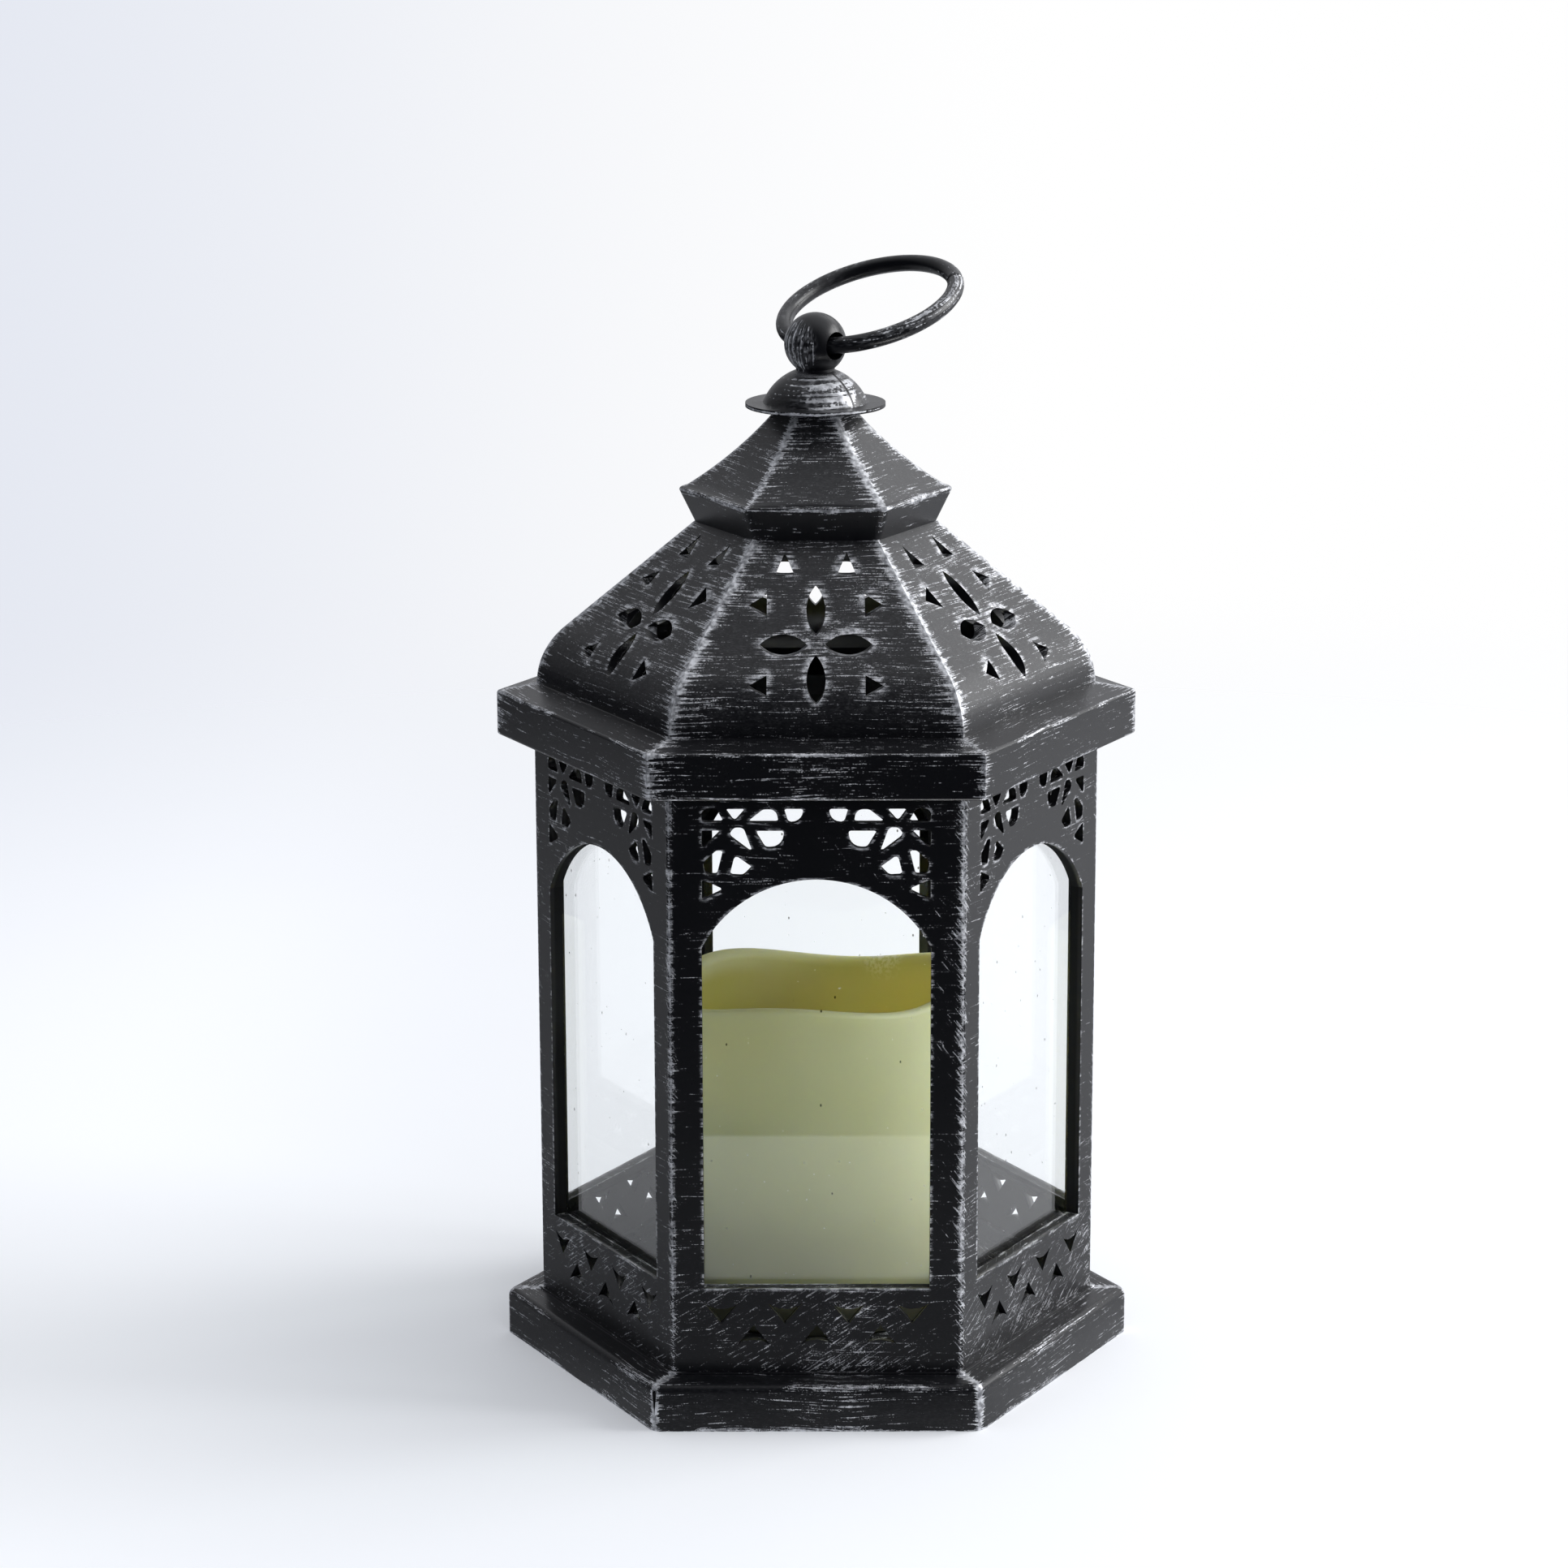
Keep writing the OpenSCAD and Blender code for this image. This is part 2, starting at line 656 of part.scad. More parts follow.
// Both halves of the finial together
module finial() {
    difference() {
        union() {
            translate([0, 0, cap_top_z]) cylinder(r = brim_r, h = brim_t);
            intersection() {
                translate([0, 0, dome_mid_z]) sphere(r = dome_ball_r);
                translate([0, 0, brim_top_z - eps]) cylinder(r = dome_r, h = dome_h + 2 * eps);
            }
            translate([0, 0, brim_top_z]) cylinder(r = neck_r, h = ball_up - ball_r + neck_in);
            translate([0, 0, ball_z]) sphere(r = ball_r);
        }
        translate([0, 0, ball_z]) rotate([0, 90, hole_turn])
            cylinder(r = ball_hole_r, h = 4 * ball_r, center = true);
        translate([0, 0, cap_top_z - eps])
            cylinder(r = big_screw_r + screw_gap, h = big_screw_l - cap_t - washer_t + 2 * eps);
    }
}

module finial_half(side) {
    color(paint) intersection() {
        finial();
        rotate(hole_turn) translate([-2 * brim_r, side > 0 ? 0 : -4 * brim_r, cap_top_z - eps])
            cube([4 * brim_r, 4 * brim_r, 4 * brim_r]);
    }
}

module finial_washer() {
    color(bare_steel) translate([0, 0, cap_under_z - washer_t]) difference() {
        cylinder(r = washer_r, h = washer_t);
        translate([0, 0, -eps]) cylinder(r = big_screw_r + screw_gap, h = washer_t + 2 * eps);
    }
}

// A pan-headed screw that points up, with the underside of its head at z = 0
module screw(r, l, head_r, head_h) {
    slot_l = head_r * 1.2;
    slot_w = head_r / 4;
    difference() {
        union() {
            cylinder(r = r, h = l);
            translate([0, 0, -head_h]) cylinder(r = head_r, h = head_h);
        }
        for (turn = [0, 90])
            rotate(turn) translate([-slot_l / 2, -slot_w / 2, -head_h - eps])
                cube([slot_l, slot_w, head_h / 2 + eps]);
    }
}

module finial_screw() {
    color(bare_steel) translate([0, 0, cap_under_z - washer_t])
        screw(big_screw_r, big_screw_l, big_head_r, big_head_h);
}

module ring_handle() {
    color(paint) translate([0, 0, ball_z]) rotate(hole_turn + 90) rotate([0, -ring_lean, 0])
        translate([ring_r - ring_back, 0, 0])
            rotate_extrude() translate([ring_r, 0]) circle(r = ring_wire_r);
}

// Height of the candle's rim above its mean, round the candle
function rim_wave(t) =
    wave_1 * cos(t + wave_1_turn) + wave_2 * cos(2 * t + wave_2_turn) + wave_3 * cos(3 * t + wave_3_turn);

module candle_shell() {
    bore = housing_r + candle_gap;
    lamp_hole = post_r + candle_gap / 2;
    under = hollow_z - candle_floor_t;
    mid_r = (candle_r + hollow_r) / 2;
    top = candle_top_z;
    c = rim_round;
    // Closed section as [radius, height, share of the rim's wave]
    outside = [
        [bore, candle_base_z, 0], [candle_r - c, candle_base_z, 0], [candle_r, candle_base_z + c, 0],
        [candle_r, hollow_z, 0], [candle_r, top - c, 1], [candle_r - c * 0.3, top - c * 0.3, 1],
        [candle_r - c, top, 1]
    ];
    inside = [
        [mid_r - c / 2, top - c * 0.1, 1], [hollow_r + c * 0.3, top - c, 1], [hollow_r, top - 2 * c, 1],
        [hollow_r, hollow_z + 2 * c, 0], [hollow_r - 2 * c, hollow_z, 0], [lamp_hole, hollow_z, 0],
        [lamp_hole, under, 0], [bore, under, 0]
    ];
    section = concat(outside, inside);
    turns = 72;
    n = len(section);
    points = [
        for (k = [0:turns - 1]) let (t = 360 * k / turns)
            for (s = section) [s[0] * cos(t), s[0] * sin(t), s[1] + s[2] * rim_wave(t)]
    ];
    faces = [
        for (k = [0:turns - 1]) for (j = [0:n - 1])
            let (a = k * n + j, b = k * n + (j + 1) % n)
            let (e = ((k + 1) % turns) * n + (j + 1) % n, d = ((k + 1) % turns) * n + j)
            each [[e, b, a], [d, e, a]]
    ];
    color(wax) polyhedron(points, faces);
}

module battery_housing() {
    rail_in = cover_w / 2 + cover_gap;
    slot_l = knob_w + switch_travel + 2 * knob_gap;
    slot_w = knob_w + 2 * knob_gap;
    color(dark_moulding) difference() {
        union() {
            translate([0, 0, flange_z]) cylinder(r = flange_r, h = flange_t);
            difference() {
                translate([0, 0, flange_z + eps])
                    cylinder(r = housing_r, h = housing_top_z - flange_z - eps);
                translate([0, 0, deck_under_z]) cylinder(r = housing_in_r, h = housing_h - housing_t);
            }
            for (side = [-1, 1]) {
                translate([side > 0 ? bay_l / 2 : -bay_l / 2 - bay_wall, -bay_w / 2, deck_under_z - eps])
                    cube([bay_wall, bay_w, battery_z + tab_up - deck_under_z + eps]);
                translate([-cover_l / 2, side > 0 ? rail_in : -rail_in - rail_t, rail_z])
                    cube([cover_l, rail_t, flange_z - rail_z + eps]);
                translate([-cover_l / 2, side > 0 ? rail_in - rail_t : -rail_in, rail_z])
                    cube([cover_l, rail_t, rail_lip]);
            }
            for (x = [-1, 1])
                translate([x * (board_w / 2 - 2 * board_foot_r), 0, board_z + board_t])
                    cylinder(r = board_foot_r, h = housing_top_z - board_z - board_t - eps);
        }
        translate([-bay_l / 2, -bay_w / 2, flange_z - eps]) cube([bay_l, bay_w, flange_t + 2 * eps]);
        translate([-slot_l / 2, switch_y - slot_w / 2, flange_z - eps])
            cube([slot_l, slot_w, flange_t + 2 * eps]);
        translate([0, 0, housing_top_z - housing_t - eps]) cylinder(r = post_in_r, h = housing_t + 2 * eps);
        for (turn = screw_turns)
            rotate(turn) translate([screw_ring_r, 0, flange_z - eps])
                cylinder(r = small_screw_r + screw_gap, h = flange_t + 2 * eps);
    }
}

module battery_cover() {
    color(dark_moulding) {
        translate([-cover_l / 2, -cover_w / 2, cover_z]) cube([cover_l, cover_w, cover_t]);
        for (k = [0:3])
            translate([cover_l / 2 - grip_in - 2 * k * grip_rib_w, -cover_w / 4, cover_z - grip_rib_w / 2])
                cube([grip_rib_w, cover_w / 2, grip_rib_w]);
    }
}

// A battery along X whose cap points to +X when way is 1
module battery(y, way) {
    start = -bay_l / 2 + contact_t + spring_l;
    translate([0, y, battery_z]) rotate(way > 0 ? 0 : 180) translate([start, 0, 0]) rotate([0, 90, 0]) {
        cylinder(r = battery_d / 2, h = battery_l - cap_nub_l);
        cylinder(r = cap_nub_r, h = battery_l);
    }
}

module battery_springs() {
    coil_r = battery_d / 2 - coil_in;
    tip_r = coil_r / 2;
    color(bare_steel) for (way = [-1, 1])
        translate([0, -way * battery_pitch / 2, battery_z]) rotate(way > 0 ? 0 : 180)
            translate([-bay_l / 2, 0, 0]) rotate([0, 90, 0]) {
                translate([-tab_up, -coil_r, 0]) cube([tab_up + coil_r, 2 * coil_r, contact_t]);
                translate([0, 0, contact_t]) difference() {
                    cylinder(r1 = coil_r, r2 = tip_r, h = spring_l);
                    cylinder(r1 = coil_r - coil_t, r2 = tip_r - coil_t, h = spring_l + eps);
                }
            }
}

module battery_contacts() {
    plate = battery_d - 2 * contact_in;
    color(bare_steel) for (way = [-1, 1])
        translate([0, -way * battery_pitch / 2, battery_z]) rotate(way > 0 ? 0 : 180)
            translate([bay_l / 2 - contact_t, -plate / 2, -plate / 2])
                cube([contact_t, plate, plate / 2 + tab_up]);
}

module switch_body() {
    color(switch_grey) translate([-switch_l / 2, switch_y - switch_w / 2, deck_under_z])
        cube([switch_l, switch_w, switch_h]);
}

module switch_knob() {
    color(knob_white)
        translate([-switch_travel / 2 - knob_w / 2, switch_y - knob_w / 2, flange_z - knob_drop])
            cube([knob_w, knob_w, flange_t + knob_drop - knob_gap]);
}

module timer_board() {
    color(board_green) translate([-board_w / 2, -board_d / 2, board_z]) cube([board_w, board_d, board_t]);
}

module lamp_post() {
    color(dark_moulding) translate([0, 0, housing_top_z]) difference() {
        cylinder(r = post_r, h = hollow_z - housing_top_z);
        translate([0, 0, -eps]) cylinder(r = post_in_r, h = hollow_z - housing_top_z + 2 * eps);
    }
}

module lamp() {
    color(lamp_lens) translate([0, 0, hollow_z]) {
        cylinder(r = post_r, h = lamp_foot_h);
        cylinder(r = lamp_foot_r, h = 2 * lamp_foot_h);
        cylinder(r = lamp_r, h = lamp_foot_h + lamp_body_h);
        translate([0, 0, lamp_foot_h + lamp_body_h]) sphere(r = lamp_r);
    }
}

// A wire through the given points, with round bends
module wire(path) {
    for (k = [1:len(path) - 1]) {
        d = path[k] - path[k - 1];
        translate(path[k - 1]) rotate([0, acos(d[2] / norm(d)), atan2(d[1], d[0])])
            cylinder(r = wire_r, h = norm(d));
        if (k < len(path) - 1) translate(path[k]) sphere(r = wire_r);
    }
}

module lamp_leads() {
    color(red_wire) for (x = [-lead_x, lead_x])
        wire([[x, 0, board_z + board_t], [x, 0, hollow_z]]);
}

// From the two terminals at one end of the bay, over the batteries and up to the board
module battery_leads() {
    edge = board_w / 2 - 2 * wire_r;
    color(red_wire) for (y = [-battery_pitch / 2, battery_pitch / 2])
        wire([[bay_l / 2 - contact_t, y, lead_z], [edge, y, lead_z], [edge, y, board_z]]);
}

module switch_leads() {
    edge = board_d / 2 - 2 * wire_r;
    color(red_wire) for (x = [-switch_l / 4, switch_l / 4])
        wire([
            [x, switch_y, deck_under_z + switch_h], [x, switch_y, lead_z],
            [x, edge, lead_z], [x, edge, board_z]
        ]);
}

module housing_screws() {
    color(bare_steel) for (turn = screw_turns)
        rotate(turn) translate([screw_ring_r, 0, flange_z])
            screw(small_screw_r, deck_z - small_screw_tip - flange_z, small_head_r, small_head_h);
}

base_plinth();
for (i = [0:5]) {
    side_panel(i);
    window_pane(i);
    roof_panel(i);
}
roof_cap();
finial_half(-1);  // finial_front_half
finial_half(1);  // finial_back_half
finial_screw();
finial_washer();
ring_handle();
candle_shell();
battery_housing();
battery_cover();
color(battery_sleeve) battery(-battery_pitch / 2, 1);  // battery_first
color(battery_sleeve) battery(battery_pitch / 2, -1);  // battery_second
battery_springs();
battery_contacts();
switch_body();
switch_knob();
timer_board();
lamp_post();
lamp();
lamp_leads();
battery_leads();
switch_leads();
housing_screws();
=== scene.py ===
# %% [markdown]
# # A hexagonal lantern
# The object is a table lantern moulded in black plastic, brushed with silver paint, with clear windows and
# an electric candle inside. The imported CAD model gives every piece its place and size. This lesson loads it,
# gives the hard edges a small rounding, makes the paint, the panes and the wax, and sets the camera.

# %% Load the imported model
import json
import math

import bmesh
import bpy
from mathutils import Matrix, Vector


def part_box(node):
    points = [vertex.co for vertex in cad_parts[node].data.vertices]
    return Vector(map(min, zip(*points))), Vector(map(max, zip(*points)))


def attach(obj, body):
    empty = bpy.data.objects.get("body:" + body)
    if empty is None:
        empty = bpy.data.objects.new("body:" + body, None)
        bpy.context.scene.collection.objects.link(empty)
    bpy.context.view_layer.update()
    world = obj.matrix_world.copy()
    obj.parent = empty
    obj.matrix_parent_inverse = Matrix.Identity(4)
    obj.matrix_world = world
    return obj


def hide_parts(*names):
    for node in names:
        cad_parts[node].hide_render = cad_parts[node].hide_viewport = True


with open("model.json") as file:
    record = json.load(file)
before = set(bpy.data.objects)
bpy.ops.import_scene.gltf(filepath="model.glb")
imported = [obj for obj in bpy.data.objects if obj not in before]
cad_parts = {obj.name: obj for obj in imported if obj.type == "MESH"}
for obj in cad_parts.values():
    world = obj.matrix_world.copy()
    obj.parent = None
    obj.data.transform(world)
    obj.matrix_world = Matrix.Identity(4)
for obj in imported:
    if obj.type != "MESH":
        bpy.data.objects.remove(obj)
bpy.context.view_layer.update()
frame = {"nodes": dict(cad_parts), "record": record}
nodes = frame["nodes"]
scene = bpy.context.scene
scene.view_settings.view_transform = "Standard"
MM = 0.001

# %% [markdown]
# ## Camera
# The photograph looks down a little at the front face from about 1.1 m away, through a long lens. The numbers
# come from fitting a camera to the corners of the eave, the walls and the base, which are true hexagons. A
# camera can be aimed with a constraint, but a matrix made from its own three directions also holds the
# slight roll.

# %% Place the camera
CAMERA_AT = Vector((-0.00084, -1.1248, 0.4274))
PITCH_DOWN = math.radians(14.028)
YAW = math.radians(0.368)
ROLL = math.radians(-0.185)
LENS, SENSOR = 105.51, 36

level_ahead = Vector((-math.sin(YAW), math.cos(YAW), 0))
level_right = Vector((math.cos(YAW), math.sin(YAW), 0))
ahead = level_ahead * math.cos(PITCH_DOWN) - Vector((0, 0, math.sin(PITCH_DOWN)))
upright = level_right.cross(ahead)
right = level_right * math.cos(ROLL) + upright * math.sin(ROLL)
up = upright * math.cos(ROLL) - level_right * math.sin(ROLL)
camera_data = bpy.data.cameras.new("camera")
camera_data.lens = LENS
camera_data.sensor_width = SENSOR
camera = bpy.data.objects.new("camera", camera_data)
turned = Matrix((right, up, -ahead)).transposed().to_4x4()
camera.matrix_world = Matrix.Translation(CAMERA_AT) @ turned
scene.collection.objects.link(camera)
scene.camera = camera
print("camera looks along", [round(v, 3) for v in ahead])

# %% [markdown]
# ## Small tools for node trees
# A material is a tree of nodes. These helpers add a node with its settings and join sockets, so that each
# material below reads as a recipe. An input takes either a plain value or the socket of another node.

# %% Helpers for nodes
FLOAT, COLOR, VECTOR = "NodeSocketFloat", "NodeSocketColor", "NodeSocketVector"
GIVES_A_NUMBER = ("DOT_PRODUCT", "LENGTH", "DISTANCE")


class Tree:
    """A node tree with short ways to add nodes."""

    def __init__(self, tree):
        self.tree = tree

    def put(self, socket, value):
        """Sets a plain value on an input, or joins another node's output to it."""
        if isinstance(value, bpy.types.NodeSocket):
            self.tree.links.new(value, socket)
        else:
            socket.default_value = value

    def feed(self, node, **ins):
        for key, value in ins.items():
            self.put(node.inputs[key.replace("_", " ")], value)

    def add(self, kind, ins=None, **settings):
        n = self.tree.nodes.new(kind)
        for key, value in settings.items():
            setattr(n, key, value)
        for key, value in (ins or {}).items():
            self.put(n.inputs[key], value)
        return n

    def group(self, group, **ins):
        n = self.add("ShaderNodeGroup", node_tree=group)
        self.feed(n, **ins)
        return n.outputs

    def math(self, operation, a, b=0.0, clamp=False):
        return self.add("ShaderNodeMath", {0: a, 1: b}, operation=operation, use_clamp=clamp).outputs[0]

    def chain(self, operation, terms):
        total = terms[0]
        for term in terms[1:]:
            total = self.math(operation, total, term)
        return total

    def plus(self, *terms):
        return self.chain("ADD", terms)

    def times(self, *terms):
        return self.chain("MULTIPLY", terms)

    def most(self, *terms):
        return self.chain("MAXIMUM", terms)

    def minus(self, a, b, clamp=False):
        return self.math("SUBTRACT", a, b, clamp)

    def vector(self, operation, a, b=(0, 0, 0)):
        n = self.add("ShaderNodeVectorMath", {0: a, 1: b}, operation=operation)
        return n.outputs["Value" if operation in GIVES_A_NUMBER else "Vector"]

    def scaled(self, a, by):
        return self.add("ShaderNodeVectorMath", {0: a, "Scale": by}, operation="SCALE").outputs["Vector"]

    def steps(self, value, low, high, to_low=0.0, to_high=1.0):
        """Goes smoothly from one result to another while the value goes from low to high."""
        ins = {"Value": value, "From Min": low, "From Max": high, "To Min": to_low, "To Max": to_high}
        return self.add("ShaderNodeMapRange", ins, interpolation_type="SMOOTHSTEP").outputs["Result"]

    def mix(self, share, a, b):
        return self.add("ShaderNodeMix", {0: share, 6: a, 7: b}, data_type="RGBA").outputs[2]

    def noise(self, vector, scale, detail=2.0):
        return self.add("ShaderNodeTexNoise", {"Vector": vector, "Scale": scale, "Detail": detail}).outputs[0]

    def xyz(self, x, y, z):
        return self.add("ShaderNodeCombineXYZ", {0: x, 1: y, 2: z}).outputs[0]

    def split(self, vector):
        return self.add("ShaderNodeSeparateXYZ", {0: vector}).outputs

    def place(self):
        """The place on the object, in millimetres."""
        return self.scaled(self.add("ShaderNodeTexCoord").outputs["Object"], 1 / MM)

    def bump(self, height, strength, distance):
        ins = {"Height": height, "Strength": strength, "Distance": distance}
        return self.add("ShaderNodeBump", ins).outputs[0]

    def rays(self):
        """What the light path says, whether a ray makes the picture, and how often it was reflected."""
        path = self.add("ShaderNodeLightPath").outputs
        seen_ray = self.most(path["Is Camera Ray"], path["Is Glossy Ray"], path["Is Transmission Ray"])
        return path, seen_ray, self.minus(path["Ray Depth"], path["Transmission Depth"])

    def clear_where(self, share, shader, color=(1, 1, 1, 1)):
        """Makes a material clear where the share is 1."""
        clear = self.add("ShaderNodeBsdfTransparent", {"Color": color}).outputs[0]
        mixed = self.add("ShaderNodeMixShader", {0: share, 1: shader.outputs[0], 2: clear}).outputs[0]
        self.feed(self.tree.nodes["Material Output"], Surface=mixed)


def new_group(name, ins, outs):
    """An empty shader node group with named sockets, and its tree, input sockets and output node."""
    group = bpy.data.node_groups.new(name, "ShaderNodeTree")
    for label, kind, value in ins:
        s = group.interface.new_socket(label, in_out="INPUT", socket_type=kind)
        if value is not None:
            s.default_value = value
    for label, kind in outs:
        group.interface.new_socket(label, in_out="OUTPUT", socket_type=kind)
    t = Tree(group)
    return group, t, t.add("NodeGroupInput").outputs, t.add("NodeGroupOutput")


def new_material(name):
    """A material with a Principled shader joined to its output, its tree and the shader."""
    m = bpy.data.materials.new(name)
    m.use_nodes = True
    m.node_tree.nodes.clear()
    t = Tree(m.node_tree)
    shader = t.add("ShaderNodeBsdfPrincipled")
    t.add("ShaderNodeOutputMaterial", {"Surface": shader.outputs[0]})
    return m, t, shader


print("node helpers ready")

# %% [markdown]
# ## Floor, background and light
# The lantern stands on a white sheet. A large soft lamp on the right throws a pale shadow to the left, and
# the room behind the camera is dark, which is why the front face is almost black. The floor fades out into
# the background, so no horizon shows. In reflections the sheet ends in front of the lantern, as the real one
# does: the lower half of the front pane mirrors it. Close to the lantern its reflection is dimmed as well, so that
# the walls are as dark as in the photograph. From below the sheet is not drawn, and under the base it is open, so
# the battery cover and the switch can be looked at.

# %% Make the floor
FLOOR_HALF = 1.6
SHEET_FADE = (0.3, 1.0)
SHEET_FRONT = -0.275
UNDER_BASE_R = 0.064
LEFT_SHEET = (-0.22, -0.08)
SHEET_LIFT, SHEET_LIFT_LEFT, LIFT_THROUGH_PANES = 0.16, 0.25, 0.06
SHEET_TINTS = (0.87, 0.885, 0.92, 1), (0.9, 0.915, 0.945, 1)
SHEET_GLOW = (0.97, 0.98, 1, 1)
# Each is two places in metres, and the share of the mirrored sheet that is missing at the first and the second.
DIM_FRONT, DIM_LEFT, DIM_RIGHT = (-0.12, -0.04, 0.8, 0.0), (-0.09, -0.04, 0.64, 0.0), (0.06, 0.12, 0.0, 0.6)

floor_mesh = bpy.data.meshes.new("floor")
floor_corners = [(side * FLOOR_HALF, end * FLOOR_HALF, 0) for side, end in ((-1, -1), (1, -1), (1, 1), (-1, 1))]
floor_mesh.from_pydata(floor_corners, [], [(0, 1, 2, 3)])
floor = bpy.data.objects.new("floor", floor_mesh)
scene.collection.objects.link(floor)

floor_sheet, t, sheet = new_material("floor_sheet")
where = t.add("ShaderNodeTexCoord").outputs["Object"]
x, y, _ = t.split(where)
from_middle = t.vector("LENGTH", where)
path, seen_ray, reflections = t.rays()
lift = t.plus(t.steps(x, *LEFT_SHEET, SHEET_LIFT_LEFT, SHEET_LIFT),
              t.times(path["Is Transmission Ray"], LIFT_THROUGH_PANES))
t.feed(sheet, Base_Color=t.mix(t.noise(where, 6.0, 3.0), *SHEET_TINTS), Roughness=0.9, Specular_IOR_Level=0.1,
       Emission_Color=SHEET_GLOW, Emission_Strength=t.times(seen_ray, lift))
mirror_ray = t.times(path["Is Glossy Ray"], t.math("GREATER_THAN", reflections, 0.5))
blurred_ray = t.minus(mirror_ray, path["Is Singular Ray"], clamp=True)
beside_ray = t.plus(t.times(mirror_ray, 0.5), t.times(blurred_ray, 0.5))
past_front = t.times(t.math("LESS_THAN", y, SHEET_FRONT), mirror_ray)
dim_front = t.times(t.steps(y, *DIM_FRONT), blurred_ray)
dim_beside = t.times(t.most(t.steps(x, *DIM_LEFT), t.steps(x, *DIM_RIGHT)), beside_ray)
under_base = t.math("LESS_THAN", from_middle, UNDER_BASE_R)
from_below = t.add("ShaderNodeNewGeometry").outputs["Backfacing"]
gone = t.most(t.steps(from_middle, *SHEET_FADE), under_base, from_below, past_front, dim_front, dim_beside)
t.clear_where(gone, sheet)
floor_mesh.materials.append(floor_sheet)
print("floor", 2 * FLOOR_HALF, "m wide")

# %% Light the scene
ROOM_RIGHT, ROOM_BEHIND, ROOM_ABOVE, ROOM_BELOW, ROOM_MIDDLE = 0.55, 1.1, 0.27, 1.7, 0.6
BACKDROP_LEFT, BACKDROP_WHITE = (0.77, 0.8, 0.88, 1), (1, 1, 1, 1)
MIRRORED_DARK, MIRRORED_PALE = (0.0, 0.0, 0.004, 1), (0.89, 0.9, 0.94, 1)
SOFT_DARK, SOFT_PALE = (0.34, 0.36, 0.4, 1), (0.72, 0.73, 0.75, 1)

world = bpy.data.worlds.new("studio")
scene.world = world
world.use_nodes = True
world.node_tree.nodes.clear()
t = Tree(world.node_tree)
across_view, into_view, above = t.split(t.add("ShaderNodeTexCoord").outputs["Generated"])
behind_camera, below = t.math("MINIMUM", into_view, 0.0), t.math("MINIMUM", above, 0.0)
room_parts = t.plus(t.times(across_view, ROOM_RIGHT), t.times(behind_camera, ROOM_BEHIND),
                    t.times(above, ROOM_ABOVE), t.times(below, ROOM_BELOW))
room = t.math("ADD", room_parts, ROOM_MIDDLE, clamp=True)
backdrop = t.mix(t.steps(across_view, -0.22, 0.06), BACKDROP_LEFT, BACKDROP_WHITE)
mirrored = t.mix(room, MIRRORED_DARK, MIRRORED_PALE)
path, seen_ray, reflections = t.rays()
# A ray's depth is one more here than on a surface, so a ray that was never reflected has a depth of 1.
straight = t.math("LESS_THAN", reflections, 1.5)
seen = t.add("ShaderNodeBackground", {"Color": t.mix(straight, mirrored, backdrop)}).outputs[0]
ambient = t.add("ShaderNodeBackground", {"Color": t.mix(room, SOFT_DARK, SOFT_PALE)}).outputs[0]
both = t.add("ShaderNodeMixShader", {0: seen_ray, 1: ambient, 2: seen}).outputs[0]
t.add("ShaderNodeOutputWorld", {"Surface": both})


def softbox(name, at, aim, size, watts):
    """A square area lamp that faces a point."""
    lamp = bpy.data.lights.new(name, "AREA")
    lamp.shape = "SQUARE"
    lamp.size = size
    lamp.energy = watts
    o = bpy.data.objects.new(name, lamp)
    aimed = (Vector(aim) - Vector(at)).to_track_quat("-Z", "Y").to_matrix().to_4x4()
    o.matrix_world = Matrix.Translation(at) @ aimed
    scene.collection.objects.link(o)
    return o


softbox("key_right", (1.0, 0.1, 0.66), aim=(0, 0, 0.1), size=0.8, watts=11.0)
fill = softbox("fill_front", (0.3, -1.4, 0.9), aim=(0, 0, 0.1), size=0.9, watts=3.0)
fill.visible_glossy = False
card = softbox("card_right", (0.75, 0.9, 0.95), aim=(0, 0, 0.2), size=1.0, watts=1.6)
card.visible_diffuse = card.visible_transmission = False
under = softbox("under_sheet", (0.25, -0.3, -0.6), aim=(0, 0, 0), size=0.6, watts=8.0)
under.visible_camera = False
print("two lamps, a card for reflections, a lamp for the underside and a white room")

# %% [markdown]
# ## Where a point lies on the lantern
# All the painted mouldings are hexagons round one axis. From a point's place alone, a shader can work out how
# far it lies outward, how far it is from the nearest upright corner, and whether the surface looks outward
# or is the wall of a cut-out. The largest of three dot products picks the face, as on a real hexagon.

# %% Group for places on the lantern
SIDE_WAYS = [(math.sin(a), -math.cos(a), 0) for a in (0, math.pi / 3, 2 * math.pi / 3)]
ACROSS_LEAN = 0.85
lantern_place, t, _, gout = new_group("lantern place", [], [
    ("Place", VECTOR), ("Round", FLOAT), ("Out", FLOAT), ("Height", FLOAT), ("Across", FLOAT),
    ("Corner", FLOAT), ("Facing", FLOAT)])
place = t.place()
x, y, height = t.split(place)
normal = t.add("ShaderNodeNewGeometry").outputs["Normal"]
signed = [t.vector("DOT_PRODUCT", place, way) for way in SIDE_WAYS]
reach = [t.math("ABSOLUTE", s) for s in signed]
out = t.most(*reach)
least = t.math("MINIMUM", reach[0], t.math("MINIMUM", reach[1], reach[2]))
second = t.minus(t.plus(*reach), t.plus(out, least))
off_middle = t.times(t.minus(second, t.times(out, 0.5)), 1 / math.cos(math.pi / 6))
corner = t.minus(t.times(out, math.tan(math.pi / 6)), off_middle)
leans = []
for way, s, r in zip(SIDE_WAYS, signed, reach):
    lean = t.times(t.vector("DOT_PRODUCT", normal, way), t.math("SIGN", s))
    picked = t.math("GREATER_THAN", t.plus(r, 0.01), out)
    leans.append(t.times(picked, t.plus(lean, 2.0)))
outward = t.minus(t.most(*leans), 2.0)
upward = t.split(normal)[2]
square_on = t.plus(t.times(outward, outward), t.times(upward, upward))
